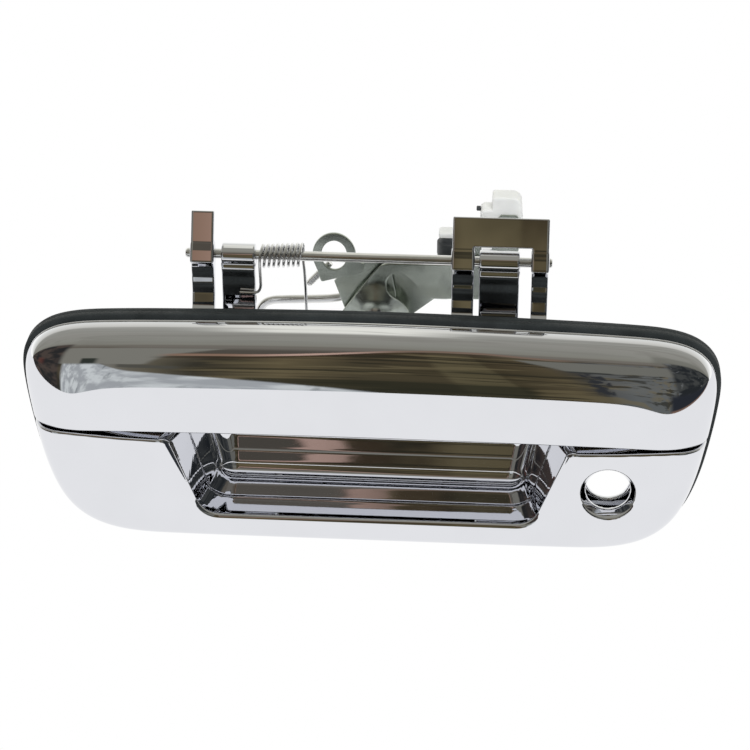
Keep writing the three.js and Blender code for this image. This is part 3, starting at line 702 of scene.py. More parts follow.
def build_bezel():
    h = 0.7
    g = Grid((-160, -25.5, -55), (160, 15.8, 59), h)
    outer = crowned(g, SX_B, SZ_B, BEZEL_REAR, BEZEL_FRONT, 2.4)
    outer = r_and(outer, g.Y - BEZEL_REAR, 0.4)
    inner = outer + WALL
    # shelf under the paddle: level in the middle, rising a little towards the ends
    xs = np.abs(g.X)
    zs = np.zeros_like(xs)
    for dx in (-6, -3, 0, 3, 6):
        zs = zs + np.interp(np.abs(xs + dx), [q[0] for q in LEDGE], [q[1] for q in LEDGE]) / 5
    shelf = (g.Z - zs).astype(np.float32)
    above = r_and(-shelf, g.Y - RAIL_FRONT, 0.01)
    low = r_and(outer, shelf, 1.0)
    rail = r_and(np.maximum(outer, g.Y - BEZEL_REAR), RAIL_FRONT - g.Y, 0.5)
    rail = r_and(rail, -shelf - WALL, 0.3)
    body = r_cut(low, r_and(inner, shelf + WALL, 0.6), 0.5)
    body = r_or(body, rail, 0.8)
    # cup of the finger pocket; its back wall leans a little
    lean = g.Y - POCKET_BACK + (g.Z + 16) * 0.032
    cup_out = r_and(pocket_field(g, WALL, POCKET_BACK + WALL), lean - WALL, 6.0)
    cup_out = np.maximum(cup_out, -23.0 - g.Y)
    cup_in = r_and(pocket_field(g, 0.0, POCKET_BACK), lean, 6.5)
    cup_out = np.maximum(cup_out, np.where(g.Y > BEZEL_REAR, -1e3, outer + 0.3))
    cup_out = np.maximum(cup_out, -above)
    body = r_or(body, cup_out, 1.6)
    boss_r = np.hypot(g.X - LOCK_X, g.Z - LOCK_Z)
    boss = r_and(boss_r - 13.6, span(g.Y, -23, -17.8), 0.6)
    body = r_or(body, boss, 1.0)
    # pocket: rounded lip where it meets the face
    body = r_cut(body, cup_in, 2.6)
    # lock seat: cone and bore
    cone = (boss_r - (LOCK_R + (LOCK_RO - LOCK_R) * np.clip((-19.6 - g.Y) / 4.4, -3, 1.5))) * 0.85
    hole = np.minimum(boss_r - LOCK_R, cone)
    body = r_cut(body, hole, 0.35)
    for x0, x1 in (L_PADDLE, R_PADDLE):
        notch = r_and(r_and(span(g.X, x0 - 1, x1 + 1), span(g.Z, 36.4, NOTCH_TOP), 1.0), span(g.Y, -14, -4), 0.01)
        body = r_cut(body, notch, 0.4)
    for x, z in STUDS:
        rr = np.hypot(g.X - x, g.Z - z)
        body = r_or(body, r_and(rr - 7.2, span(g.Y, -8.6, -0.2), 0.5), 0.8)
        body = r_cut(body, r_and(rr - 2.9, span(g.Y, -6.6, 5), 0.2), 0.3)
    for x in (-124, 124):
        rib = np.maximum(np.maximum(span(g.X, x - 1.2, x + 1.2), span(g.Z, -43, 2.5)), span(g.Y, -23, -8))
        rib = np.maximum(rib, outer + 1.7)
        body = r_or(body, rib, 0.8)
    return field_object("bezel_casting", body, g)


bezel = build_bezel()
finish_piece(bezel, "bezel", "chrome", "bezel_frame")


# ------------------------------------------------------------------ paddle
def build_paddle():
    h = 0.55
    g = Grid((-159.5, -28.5, 3.5), (159.5, -8.6, 58.2), h)
    skin = crowned(g, SX_P, SZ_P, PADDLE_REAR, PADDLE_FRONT, 2.2)
    edge = PADDLE_BOTTOM + 0.9 - (g.X / 120.0) ** 2
    outer = r_and(skin, g.Y - PADDLE_REAR, 0.35)
    outer = r_and(outer, edge - g.Z, 1.7)
    inner = r_and(skin + WALL, edge + WALL - g.Z, 2.0)
    body = r_cut(outer, inner, 0.6)
    for x in (-110, -30, 30, 110):
        rib = np.maximum(np.maximum(span(g.X, x - 1, x + 1), span(g.Z, 6, 41)), span(g.Y, -26, -12.5))
        rib = np.maximum(rib, outer + 1.7)
        body = r_or(body, rib, 0.6)
    return field_object("paddle_cover", body, g)


paddle = build_paddle()
finish_piece(paddle, "paddle", "chrome", "paddle_handle")

# ------------------------------------------------------------------ hinge arms (fixed and on the paddle)
LEAN = math.radians(23.0)


def arm_poly(points):
    return smooth_loop(catmull(points, 260), 3)


FIXED_ARM = [(-9.0, 49.4), (-1.0, 49.4), (5.0, 50.6), (9.2, 54.6), (11.0, 60.2), (11.2, 68), (10.4, 73.4),
             (8.75, 76.6), (10.9, 81.6), (12.4, 84.0), (15, 84.2), (18.6, 82.6), (20.6, 78.3), (19.4, 74.2), (17.2, 71.2),
             (16.2, 66), (15.8, 57), (13.4, 49.6), (8.0, 44.9), (0, 43.2), (-9.0, 43.2)]
PADDLE_ARM = [(-21.5, 43.0), (-3.0, 42.8), (3.6, 44.0), (8.4, 48.0), (10.8, 54.0), (11.4, 61), (11.3, 68), (10.6, 74.5),
              (15, 74.2), (19.2, 75.2), (16.6, 69.6), (15.8, 60), (14.9, 52.0), (11.6, 44.4), (5.4, 39.4), (-2.0, 37.8),
              (-12, 37.4), (-20.2, 31.0), (-22.2, 33.0)]


def tab_poly(length, t=TAB_T):
    s, c = math.sin(LEAN), math.cos(LEAN)
    a = (EAR_FRONT, 76.8)
    return [a, (a[0] + length * s, a[1] + length * c), (a[0] + length * s + t * c, a[1] + length * c - t * s),
            (a[0] + t * c + 2 * s, a[1] + 2 * c - t * s)]


def build_arms():
    h = 0.42
    made = []
    # left fixed arm with its tab
    g = Grid((L_FIXED[0] - 1, -10.5, 42), (L_FIXED[1] + 1, 22.5, 101), h)
    prof = g.yz(lambda y, z: poly_sd(y, z, FIXED_ARM))
    tab = g.yz(lambda y, z: poly_sd(y, z, tab_poly(23.3)))
    arm = r_or(r_and(prof, span(g.X, *L_FIXED), 0.5), r_and(tab, span(g.X, *L_FIXED), 0.45), 1.2)
    bore = np.hypot(g.Y - PIN_Y, g.Z - PIN_Z) - PIN_R - 0.06
    arm = r_cut(arm, bore, 0.3)
    made.append(field_object("ear_left", arm, g))
    # right pair with the plate that joins them
    g = Grid((R_EAR_A[0] - 1, -10.5, 42), (R_EAR_B[1] + 1, 22.5, 101), h)
    prof = g.yz(lambda y, z: poly_sd(y, z, FIXED_ARM))
    tab = g.yz(lambda y, z: poly_sd(y, z, tab_poly(23.9)))
    lean_z = (g.Z - 76.8) * math.cos(LEAN) + (g.Y - EAR_FRONT) * math.sin(LEAN)
    ears = r_or(r_and(prof, span(g.X, *R_EAR_A), 0.5), r_and(prof, span(g.X, *R_EAR_B), 0.5), 0.1)
    plate = r_and(tab, span(g.X, R_EAR_A[0], R_EAR_B[1]), 0.45)
    slot = r_and(span(g.X, R_EAR_A[1], R_EAR_B[0]), lean_z - 10.3, 0.6)
    plate = r_cut(plate, slot, 0.45)
    ears = r_or(ears, plate, 1.2)
    bore = np.hypot(g.Y - PIN_Y, g.Z - PIN_Z) - PIN_R - 0.06
    ears = r_cut(ears, bore, 0.3)
    made.append(field_object("ear_right", ears, g))
    for ob in made:
        finish_piece(ob, "bezel", "chrome", "bezel_frame")
    # paddle arms with knuckles and the tail
    moved = []
    for name, (x0, x1) in (("knuckle_left", L_PADDLE), ("knuckle_right", R_PADDLE)):
        tail = name.endswith("right")
        g = Grid((x0 - 1, -24, 29.5), (x1 + 1, 60 if tail else 22, 85), h)
        prof = g.yz(lambda y, z: poly_sd(y, z, arm_poly(PADDLE_ARM)))
        arm = r_and(prof, span(g.X, x0, x1), 0.5)
        barrel = r_and(np.hypot(g.Y - PIN_Y, g.Z - PIN_Z) - KNUCKLE_R, span(g.X, x0, x1), 0.5)
        arm = r_or(arm, barrel, 1.5)
        if tail:
            tp = [(17, 82.2), (26, 82.0), (44, 79.0), (57.6, 76.6), (58.6, 75.2), (57.2, 73.6), (54, 73.8), (42, 75.6), (24, 76.0), (17, 74.6)]
            tf = g.yz(lambda y, z: poly_sd(y, z, tp))
            arm = r_or(arm, r_and(tf, span(g.X, 49.2, 54.0), 0.6), 1.2)
        arm = r_cut(arm, np.hypot(g.Y - PIN_Y, g.Z - PIN_Z) - PIN_R - 0.06, 0.3)
        moved.append(field_object(name, arm, g))
    for ob in moved:
        finish_piece(ob, "paddle", "chrome", "paddle_handle")


build_arms()

# ------------------------------------------------------------------ gasket
def build_gasket():
    n = len(OUTLINE)
    t = np.roll(OUTLINE, -1, 0) - np.roll(OUTLINE, 1, 0)
    t /= np.linalg.norm(t, axis=1, keepdims=True)
    nrm = np.stack([-t[:, 1], t[:, 0]], 1)
    if ((OUTLINE + nrm)[:, 0] ** 2).sum() < (OUTLINE[:, 0] ** 2).sum():
        nrm = -nrm
    out = OUTLINE + nrm * 2.1
    k = np.where(OUTLINE[:, 1] > 30, 0.918, 0.86)
    k = 0.86 + 0.058 / (1 + np.exp(-(OUTLINE[:, 1] - 28) / 3.0))
    inn = np.stack([OUTLINE[:, 0] * 0.945, ZC + (OUTLINE[:, 1] - ZC) * k], 1)
    for x0, x1 in (L_PADDLE, R_PADDLE):
        m = (inn[:, 0] > x0 - 1) & (inn[:, 0] < x1 + 1) & (inn[:, 1] > 30)
        inn[m, 1] = np.maximum(inn[m, 1], 54.4)
    # section: soft rounded outer edge, a shallow groove in the middle of the edge
    sec = [(0.0, -0.55, 1), (0.28, -0.16, 1), (0.9, 0.0, 1), (3.2, 0.0, 1), (3.7, -0.22, 1), (4.2, 0.0, 1), (6.2, 0.0, 1),
           (6.8, -0.16, 1), (7.1, -0.6, 1), (7.12, -3.0, 1), (7.12, 0.4, 0), (6.8, 0.0, 0), (0.3, 0.0, 0), (0.0, 0.4, 0), (0.0, -3.0, 1)]
    rings = []
    for y, d, side in sec:
        base = out + nrm * d if side else inn + nrm * d
        rings.append(np.column_stack([base[:, 0], np.full(n, y - 7.15), base[:, 1]]))
    v = np.vstack(rings)
    m = len(rings)
    faces = []
    for a in range(m):
        b = (a + 1) % m
        for i in range(n):
            j = (i + 1) % n
            faces.append((a * n + i, a * n + j, b * n + j, b * n + i))
    ob = from_pydata("gasket_foam", v, faces)
    import bmesh
    bm = bmesh.new(); bm.from_mesh(ob.data)
    bmesh.ops.recalc_face_normals(bm, faces=bm.faces)
    bm.to_mesh(ob.data); bm.free()
    smooth_by_angle(ob, 50)
    return ob


gasket = build_gasket()
finish_piece(gasket, "bezel", "rubber", "panel_gasket")

# ------------------------------------------------------------------ pin and spring
pin = lathe("pin_rod", round_profile([(0, PIN_X0), (1.7, PIN_X0), (PIN_R, PIN_X0 + 0.9), (PIN_R, PIN_X1 - 0.9), (1.7, PIN_X1), (0, PIN_X1)], 0.25),
            "X", (0, PIN_Y, PIN_Z))
finish_piece(pin, "bezel", "steel", "hinge_pin")


def build_spring():
    """Coil with its fixed leg, and the hooked leg that stays on the paddle's arm as it swings."""
    r, x0, x1, turns = 5.0, -51.0, -32.0, 8.5
    n = int(turns * 28)
    coil = []
    for i in range(n + 1):
        a = math.pi - 2 * math.pi * turns * i / n
        coil.append((x0 + (x1 - x0) * i / n + 0.35 * math.sin(a), PIN_Y + r * math.cos(a), PIN_Z + r * math.sin(a) + 1.3 * (i / n - 0.5)))
    coil += [(-32.2, 19.75, 75), (-31.6, 19.4, 68), (-30.8, 17.5, 54), (-30.3, 14.6, 42), (-30.0, 12.4, 35.3)]
    hook = [(-60.5, 9.9, 61.4), (-57.5, 9.9, 61.3), (-54.5, 10.0, 61.3), (-52.0, 10.05, 62.0), (-50.9, 10.1, 64.2), (-50.8, 10.15, 68), (-51.0, 10.1, 73.5),
            (-51.0, 10.0, 77.4), (-51.0, 10.05, 78.2)]
    return wire("spring_coil", coil, 0.68, 10, steps=len(coil) * 2), wire("spring_hook", hook, 0.68, 10, steps=90)


coil_ob, hook_ob = build_spring()
finish_piece(coil_ob, "bezel", "spring_steel", "return_spring")
finish_piece(hook_ob, "paddle", "spring_steel", "return_spring")

# ------------------------------------------------------------------ bracket
def hub_arc(r, d0, d1, n=12):
    return arc(HUB_X, HUB_Z, r, d0, d1, n)


def build_bracket():
    h = 0.4
    outline = [(5.0, 61.0), (2.2, 60.0), (0.4, 58.6), (-9.2, 46.4), (-16.4, 35.5), (-17.6, 24), (-22.5, 8), (-22.5, -3),
               (-6, -22.5), (6, -22.5), (22.5, -3), (22.5, 8), (16, 22), (14.2, 30)]
    slot = [(14.9, 36.5), (13.3, 39.4), (10.9, 42.3), (7.4, 44.8), (5.0, 47.4), (4.4, 50.5), (5.6, 53.8), (8.0, 55.6),
            (10.8, 56.1), (14, 54.6), (18.5, 50), (21.2, 46.4), (22.4, 44.4), (24.4, 43.4), (28.2, 43.1), (32.6, 43.1)]
    outline += [tuple(q) for q in catmull(slot, 90, False)]
    outline += [(35, 43.4), (52, 43.6), (61.5, 45.5), (63.4, 50), (63.0, 57), (59.4, 61.4)]
    g = Grid((-25, 38.5, -24.5), (65.5, 49.5, 63.5), h)
    plate2 = g.xz(lambda x, z: poly_sd(x, z, outline))
    plate = r_and(plate2, span(g.Y, 46.0, 47.6), 0.35)
    # pressed dome round the hub, rolled smoothly into the plate
    rr = np.hypot(g.X - HUB_X, g.Z - HUB_Z)
    top = 5.4 * np.exp(-(rr / 11.4) ** 3.2)
    sheet = span(g.Y + top, 46.0, 47.6) / np.sqrt(1 + (5.4 * 3.2 / 11.4 * (rr / 11.4) ** 2.2 * np.exp(-(rr / 11.4) ** 3.2)) ** 2)
    plate = r_and(plate2, sheet, 0.35)
    plate = r_cut(plate, rr - 2.6, 0.2)
    for x, z in BOSSES:
        plate = r_cut(plate, np.hypot(g.X - x, g.Z - z) - 2.2, 0.2)
    return field_object("bracket_plate", plate, g, normal_step=0.9)


finish_piece(build_bracket(), "bezel", "zinc", "mechanism_bracket")

legs = []
for i, (x, z) in enumerate(BOSSES):
    leg = lathe(f"bracket_post_{i + 1}", round_profile([(0, 13.4), (7.0, 13.4), (6.3, 15.0), (5.9, 18), (4.9, 45.9), (1.9, 45.95), (1.85, 33), (0, 33)], 0.6),
                "Y", (x, 0, z))
    finish_piece(leg, "bezel", "chrome", "bezel_frame")
    head = [(0, 34), (1.3, 34), (1.7, 35), (1.7, 47.8), (3.9, 47.8), (3.9, 48.3), (3.55, 49.6), (2.6, 50.5), (1.5, 50.8), (1.2, 49.7), (0, 49.7)]
    finish_piece(lathe(f"screw_{i + 1}", round_profile(head, 0.2), "Y", (x, 0, z), 48), "bezel", "steel", f"bracket_screw_{i + 1}")

rivet = [(0, 38.9), (1.0, 38.95), (2.2, 39.1), (2.9, 39.5), (3.9, 40.15), (3.7, 40.4), (2.3, 40.45), (2.3, 57.2), (4.6, 57.3), (4.5, 58.2), (3.4, 59.0), (1.2, 59.3), (0, 59.3)]
finish_piece(lathe("rivet_pivot", round_profile(rivet, 0.25), "Y", (HUB_X, 0, HUB_Z)), "bezel", "steel", "pivot_rivet")
spc = [(2.55, 42.6), (4.1, 42.6), (4.4, 42.9), (4.4, 48.9), (4.2, 49.1), (2.55, 49.1)]
finish_piece(lathe("rivet_spacer", spc, "Y", (HUB_X, 0, HUB_Z)), "bezel", "steel", "pivot_spacer")

# ------------------------------------------------------------------ left lever
def oval(rx, rz, d0, d1, n):
    return [(RING_X + x * rx, RING_Z + z * rz) for x, z in arc(0, 0, 1, d0, d1, n)]


ring_body = ([(-27.9, 57.2), (-26.6, 52.6), (-26.2, 51.9), (-25.4, 51.7), (-7.4, 56.9), (-6.4, 57.4), (-6.2, 58.2), (-6.2, 61.4)]
             + oval(RING_RX, RING_RZ, -12, 206, 44))
low_plate = fillet([(-20.6, 49.4), (-15.5, 34.5), (-12.5, 29.0)], 0) + hub_arc(9.5, 220, 380, 20) + [(8.6, 44), (6, 58.6), (-2, 61.4), (-6.0, 61.6), (-8.0, 60.8), (-13.5, 57.2)]
ringp = stamping("ring_arm", ring_body, 43.6, 45.2, [oval(RING_HX, RING_HZ, 0, 352.5, 47)[::-1]], 0.4)
lowp = stamping("lever_left_plate", low_plate, 49.4, 51.0, [circle(HUB_X, HUB_Z, 2.4, 24)[::-1]], 0.4)
flange = stamping("lever_left_flange", fillet([(-7.9, 57.5), (-6.2, 57.6), (-6.2, 61.5), (-7.9, 61.4)], 0.5, 4), 44.4, 50.2, (), 0.3)
for ob in (ringp, lowp, flange):
    finish_piece(ob, "left_lever", "zinc", "left_lever")


def build_stud():
    a, b = np.array((-22.0, 47.3, 60.0)), np.array((-32.8, 47.3, 48.4))
    length = float(np.linalg.norm(b - a))
    prof = [(0, 0), (1.5, 0)]
    n = 9
    for i in range(n):
        t = 3.0 + (length - 4.6) * i / n
        s = (length - 4.6) / n
        prof += [(1.75, t), (1.75, t + s * 0.45), (1.35, t + s * 0.6), (1.35, t + s * 0.9)]
    prof += [(1.7, length - 1.4), (1.5, length - 0.5), (0.9, length), (0, length)]
    ob = lathe("stud_ribbed", prof, "Y", (0, 0, 0), 32)
    d = (b - a) / length
    rot = Vector((0, 1, 0)).rotation_difference(Vector(d)).to_matrix().to_4x4()
    ob.data.transform(Matrix.Translation(Vector(a) * MM) @ rot)
    return ob


finish_piece(build_stud(), "left_lever", "steel", "lever_stud")

# ------------------------------------------------------------------ right lever
RL = hub_arc(9.5, 150, 300, 20) + [(16, 31), (30, 42.6), (46, 50), (60, 57), (66, 66.5), (66, 82.4), (64.4, 84.2),
      (57.4, 84.2), (56, 82.8), (56, 72.8), (41, 72.8), (40.2, 66), (38, 58.2), (28, 57.6), (20, 57.0), (8, 56.0), (0.5, 50.5), (-4, 45.2)]
rl = stamping("lever_right_plate", RL, 52.8, 54.4, [circle(HUB_X, HUB_Z, 2.4, 24)[::-1], circle(60.4, 78.4, 3.0, 24)[::-1]], 0.4)
tab1 = stamping("lever_right_tab", fillet([(41, 71.0), (55.6, 71.0), (55.6, 72.8), (41, 72.8)], 0.5, 3), 53.2, 61.4, (), 0.3)
tab2 = stamping("lever_right_seat", fillet([(27.4, 57.4), (38.6, 57.4), (38.6, 59.2), (27.4, 59.2)], 0.5, 3), 53.2, 68.6, (), 0.3)
for ob in (rl, tab1, tab2):
    finish_piece(ob, "right_lever", "zinc", "right_lever")

clip = (arc(50.0, 83.4, 2.4, 180, 90, 8) + [(53.0, 85.8), (53.0, 90.4)] + arc(54.4, 90.8, 1.4, 180, 90, 6)[1:]
        + arc(62.4, 87.8, 4.4, 90, 0, 12) + [(67.6, 76.6), (65.0, 73.4), (57.2, 73.4), (57.2, 79.8), (47.6, 79.8)])
up = stamping("clip_upper_body", clip, 55.0, 65.0, (), 0.9, 4)
finish_piece(up, "right_lever", "nylon", "rod_clip_upper")
stem = lathe("clip_upper_stem", round_profile([(0, 50.2), (3.3, 50.2), (3.9, 51.2), (3.6, 52.4), (2.8, 52.6), (2.8, 56.0), (0, 56.0)], 0.3), "Y", (60.4, 0, 78.4), 40)
finish_piece(stem, "right_lever", "nylon", "rod_clip_upper")
finish_piece(lathe("clip_upper_pin", round_profile([(0, 45.7), (0.9, 45.7), (1.2, 46.1), (1.2, 47.7), (0, 47.7)], 0.2), "X", (0, 60, 84.4), 24),
             "right_lever", "black_plastic", "clip_pin_upper")
finish_piece(lathe("clip_lower_bush", round_profile([(0, 59.5), (5.3, 59.5), (5.7, 60.2), (5.7, 66.0), (5.2, 66.5), (4.2, 66.6), (4.2, 68.9), (0, 68.9)], 0.35), "Z", (33.0, 62.2, 0)),
             "right_lever", "black_plastic", "clip_bush_lower")
def build_cap():
    g = Grid((27.4, 57.4, 68.2), (38.6, 67.0, 72.4), 0.25)
    box = r_and(r_and(span(g.X, 28.2, 37.8), span(g.Y, 58.2, 66.2), 1.4), span(g.Z, 69.0, 71.7), 0.7)
    return field_object("clip_lower_cap", box, g)


finish_piece(build_cap(), "right_lever", "nylon", "clip_cap_lower")

# ------------------------------------------------------------------ link rod, stops, studs
rod = wire("rod_link", [(-13.4, 49.5, 43.6), (-13.4, 51.0, 43.6), (-13.5, 53.4, 43.2), (-14.2, 55.4, 41.2), (-16.5, 56.2, 38.4),
                        (-22, 56.2, 37.1), (-32, 56.2, 36.3), (-44, 56.2, 35.7), (-51, 56.2, 35.0), (-54.6, 56.2, 33.3), (-57, 56.2, 29.6),
                        (-58.4, 56.2, 22), (-58.6, 56.2, 12)], 2.0, 16, 160)
finish_piece(rod, "link_rod", "steel", "link_rod")
for i, x in enumerate((-98, 98)):
    side = "right" if i else "left"
    finish_piece(lathe(f"stop_{side}", round_profile([(0, RAIL_FRONT - 3.6), (3.0, RAIL_FRONT - 3.6), (4.0, RAIL_FRONT - 2.4), (4.4, RAIL_FRONT - 0.3), (0, RAIL_FRONT - 0.3)], 0.5), "Y", (x, 0, 44)),
                 "bezel", "rubber", f"bump_stop_{side}")
for i, (x, z) in enumerate(STUDS):
    side = "right" if i else "left"
    prof = [(0, -6.2), (2.4, -6.2), (2.4, 0.4)]
    t = 0.8
    while t < 14.6:
        prof += [(2.5, t), (2.9, t + 0.35), (2.9, t + 0.45), (2.5, t + 0.8)]
        t += 1.0
    prof += [(2.5, 15.0), (2.0, 16.0), (0, 16.0)]
    finish_piece(lathe(f"stud_{side}", prof, "Y", (x, 0, z), 40), "bezel", "steel", f"mount_stud_{side}")

# ------------------------------------------------------------------ stage
def build_stage():
    """Pale sheet under the handle; its front edge shows in the chrome as the line between white and dark."""
    x, y0, y1, z = 2600.0, -214.0, 4000.0, -57.5
    ob = from_pydata("floor", [(-x, y0, z), (x, y0, z), (x, y1, z), (-x, y1, z)], [(0, 1, 2, 3)], smooth=False)
    m = bpy.data.materials.new("pale_floor")
    m.use_nodes = True
    nt = m.node_tree
    for n in list(nt.nodes):
        nt.nodes.remove(n)
    e = nt.nodes.new("ShaderNodeEmission")
    e.inputs["Color"].default_value = (1.0, 1.0, 1.0, 1)
    e.inputs["Strength"].default_value = 1.0
    o = nt.nodes.new("ShaderNodeOutputMaterial")
    nt.links.new(e.outputs[0], o.inputs["Surface"])
    ob.data.materials.append(m)
    return ob


floor = build_stage()


def lin(c):
    return tuple((v / 255 / 12.92 if v / 255 <= 0.04045 else ((v / 255 + 0.055) / 1.055) ** 2.4) for v in c)


def seen(c):
    """Radiance that chrome turns into the colour c (0-255)."""
    return tuple(v / k for v, k in zip(lin(c), CHROME_BASE))


# world: plain white for the backdrop, and a room for the metal to mirror
world = bpy.data.worlds.new("studio")
bpy.context.scene.world = world
world.use_nodes = True
wt = world.node_tree
for n in list(wt.nodes):
    wt.nodes.remove(n)


class V:
    """Scalar node output with arithmetic."""
    def __init__(self, sock):
        self.s = sock

    @staticmethod
    def op(kind, *args, clamp=False):
        n = wt.nodes.new("ShaderNodeMath")
        n.operation = kind
        n.use_clamp = clamp
        for i, a in enumerate(args):
            if isinstance(a, V):
                wt.links.new(a.s, n.inputs[i])
            else:
                n.inputs[i].default_value = a
        return V(n.outputs[0])

    def __add__(self, o): return V.op("ADD", self, o)
    def __radd__(self, o): return V.op("ADD", self, o)
    def __sub__(self, o): return V.op("SUBTRACT", self, o)
    def __rsub__(self, o): return V.op("SUBTRACT", o, self)
    def __mul__(self, o): return V.op("MULTIPLY", self, o)
    def __rmul__(self, o): return V.op("MULTIPLY", self, o)


def step(v, a, b):
    """0 below a, 1 above b (or the other way round when a > b), smooth between."""
    n = wt.nodes.new("ShaderNodeMapRange")
    n.interpolation_type = "SMOOTHSTEP"
    lo, hi, t0, t1 = (a, b, 0.0, 1.0) if a < b else (b, a, 1.0, 0.0)
    n.inputs["From Min"].default_value = lo
    n.inputs["From Max"].default_value = hi
    n.inputs["To Min"].default_value = t0
    n.inputs["To Max"].default_value = t1
    wt.links.new(v.s, n.inputs["Value"])
    return V(n.outputs["Result"])


def band(v, a, b, soft):
    return step(v, a - soft, a + soft) * step(v, b + soft, b - soft)


def wramp(v, stops, lo, hi, interp="LINEAR"):
    f = (v - lo) * (1.0 / (hi - lo))
    r = wt.nodes.new("ShaderNodeValToRGB")
    r.color_ramp.interpolation = interp
    while len(r.color_ramp.elements) < len(stops):
        r.color_ramp.elements.new(0.5)
    for e, (p, c) in zip(r.color_ramp.elements, sorted(stops)):
        e.position = (p - lo) / (hi - lo)
        e.color = (*c, 1)
    wt.links.new(f.s, r.inputs["Fac"])
    return r.outputs["Color"]


def wmix(fac, a, b):
    n = wt.nodes.new("ShaderNodeMix")
    n.data_type = "RGBA"
    n.clamp_factor = True
    if isinstance(fac, V):
        wt.links.new(fac.s, n.inputs["Factor"])
    else:
        n.inputs["Factor"].default_value = fac
    for name, c in (("A", a), ("B", b)):
        sock = [i for i in n.inputs if i.name == name and i.type == "RGBA"][0]
        if isinstance(c, tuple):
            sock.default_value = (*c, 1)
        else:
            wt.links.new(c, sock)
    return [o for o in n.outputs if o.type == "RGBA"][0]


def wnoise(a, e, sa, se, detail=3, off=0.0):
    """Noise over azimuth and elevation with separate scales (cells per degree)."""
    c = wt.nodes.new("ShaderNodeCombineXYZ")
    wt.links.new((a * sa).s, c.inputs[0])
    wt.links.new((e * se).s, c.inputs[1])
    c.inputs[2].default_value = off
    n = wt.nodes.new("ShaderNodeTexNoise")
    n.inputs["Scale"].default_value = 1.0
    n.inputs["Detail"].default_value = detail
    n.inputs["Roughness"].default_value = 0.55
    wt.links.new(c.outputs[0], n.inputs["Vector"])
    return V(n.outputs["Fac"])


tc = wt.nodes.new("ShaderNodeTexCoord")
sep = wt.nodes.new("ShaderNodeSeparateXYZ")
wt.links.new(tc.outputs["Generated"], sep.inputs[0])
DX, DY, DZ = V(sep.outputs["X"]), V(sep.outputs["Y"]), V(sep.outputs["Z"])
FWD = V.op("MULTIPLY", DY, -1.0)
DEG = 180 / math.pi
EL_ = V.op("ARCTAN2", DZ, FWD) * DEG         # 0 ahead of the handle, 90 overhead, 180 behind
AZ_ = V.op("ARCTAN2", DX, V.op("ABSOLUTE", FWD)) * DEG  # positive to the right

base = wramp(EL_, [(-180, seen((250, 250, 250))), (-92, seen((235, 236, 238))), (-45, seen((120, 118, 112))), (-34, seen((52, 50, 42))), (-24, seen((46, 46, 38))),
                   (-15, seen((44, 41, 32))), (-9, seen((78, 72, 57))), (-2, seen((74, 67, 51))), (4, seen((54, 50, 39))), (10, seen((62, 56, 44))),
                   (17, seen((78, 68, 53))), (25, seen((58, 48, 38))), (31, seen((68, 57, 49))), (36, seen((96, 92, 85))), (40, seen((104, 101, 94))),
                   (44, seen((124, 123, 116))), (55, seen((132, 132, 126))), (76, seen((137, 136, 131))), (92, seen((141, 141, 136))), (110, seen((150, 150, 146))),
                   (116, seen((190, 190, 186))), (128, seen((203, 203, 200))), (150, seen((215, 217, 216))), (180, seen((250, 250, 250)))], -180, 180)
# overhead light
lampx = band(DX, -0.15, -0.015, 0.035)
lamp = step(EL_, 84, 96) * step(EL_, 134, 122) * lampx
col = wmix(lamp, base, seen((222, 222, 216)))
# grey wall: slow drift
wall = wnoise(AZ_, EL_, 0.05, 0.05, 3)
grey = band(EL_, 42, 112, 4) * step(wall, 0.45, 0.62) * 0.35
col = wmix(grey, col, seen((112, 111, 105)))
# the wall's foot steps with azimuth: low on the left, high in the middle
foot = step(AZ_, -8.2, -1.2) * 19.0 - step(AZ_, 0.0, 2.5) * 6.0 + 21.0
above_foot = EL_ - foot
wallg = step(above_foot, 1.6, 3.4) * step(EL_, 44, 38) * step(AZ_, -16, -13.5)
col = wmix(wallg, col, wmix(step(EL_, 29, 38), seen((76, 72, 66)), seen((108, 104, 98))))
corner = step(AZ_ * 1.0 + EL_ * -0.28, 1.0, 6.0) * band(EL_, 38, 60, 4)
col = wmix(corner * 0.55, col, seen((98, 98, 92)))

# far room between the sheet and the wall: upright panels, gold and dark
a2 = AZ_ + EL_ * 0.011
room = step(EL_, -41, -39) * step(above_foot, 0.4, -1.6) * step(AZ_, -13.5, -12.6)
panel = wramp(a2, [(-12.0, seen((120, 119, 114))), (-9.5, seen((90, 86, 75))), (-8.3, seen((46, 45, 40))), (-6.2, seen((98, 88, 66))),
                   (-4.2, seen((66, 60, 46))), (-1.7, seen((62, 56, 42))), (-1.5, seen((86, 80, 60))), (-0.1, seen((80, 74, 55))),
                   (0.0, seen((56, 50, 36))), (1.5, seen((78, 70, 53))), (2.3, seen((62, 62, 60))), (3.1, seen((92, 95, 97))),
                   (5.0, seen((100, 104, 106)))], -13.5, 8.5)
col = wmix(room * 0.72, col, panel)
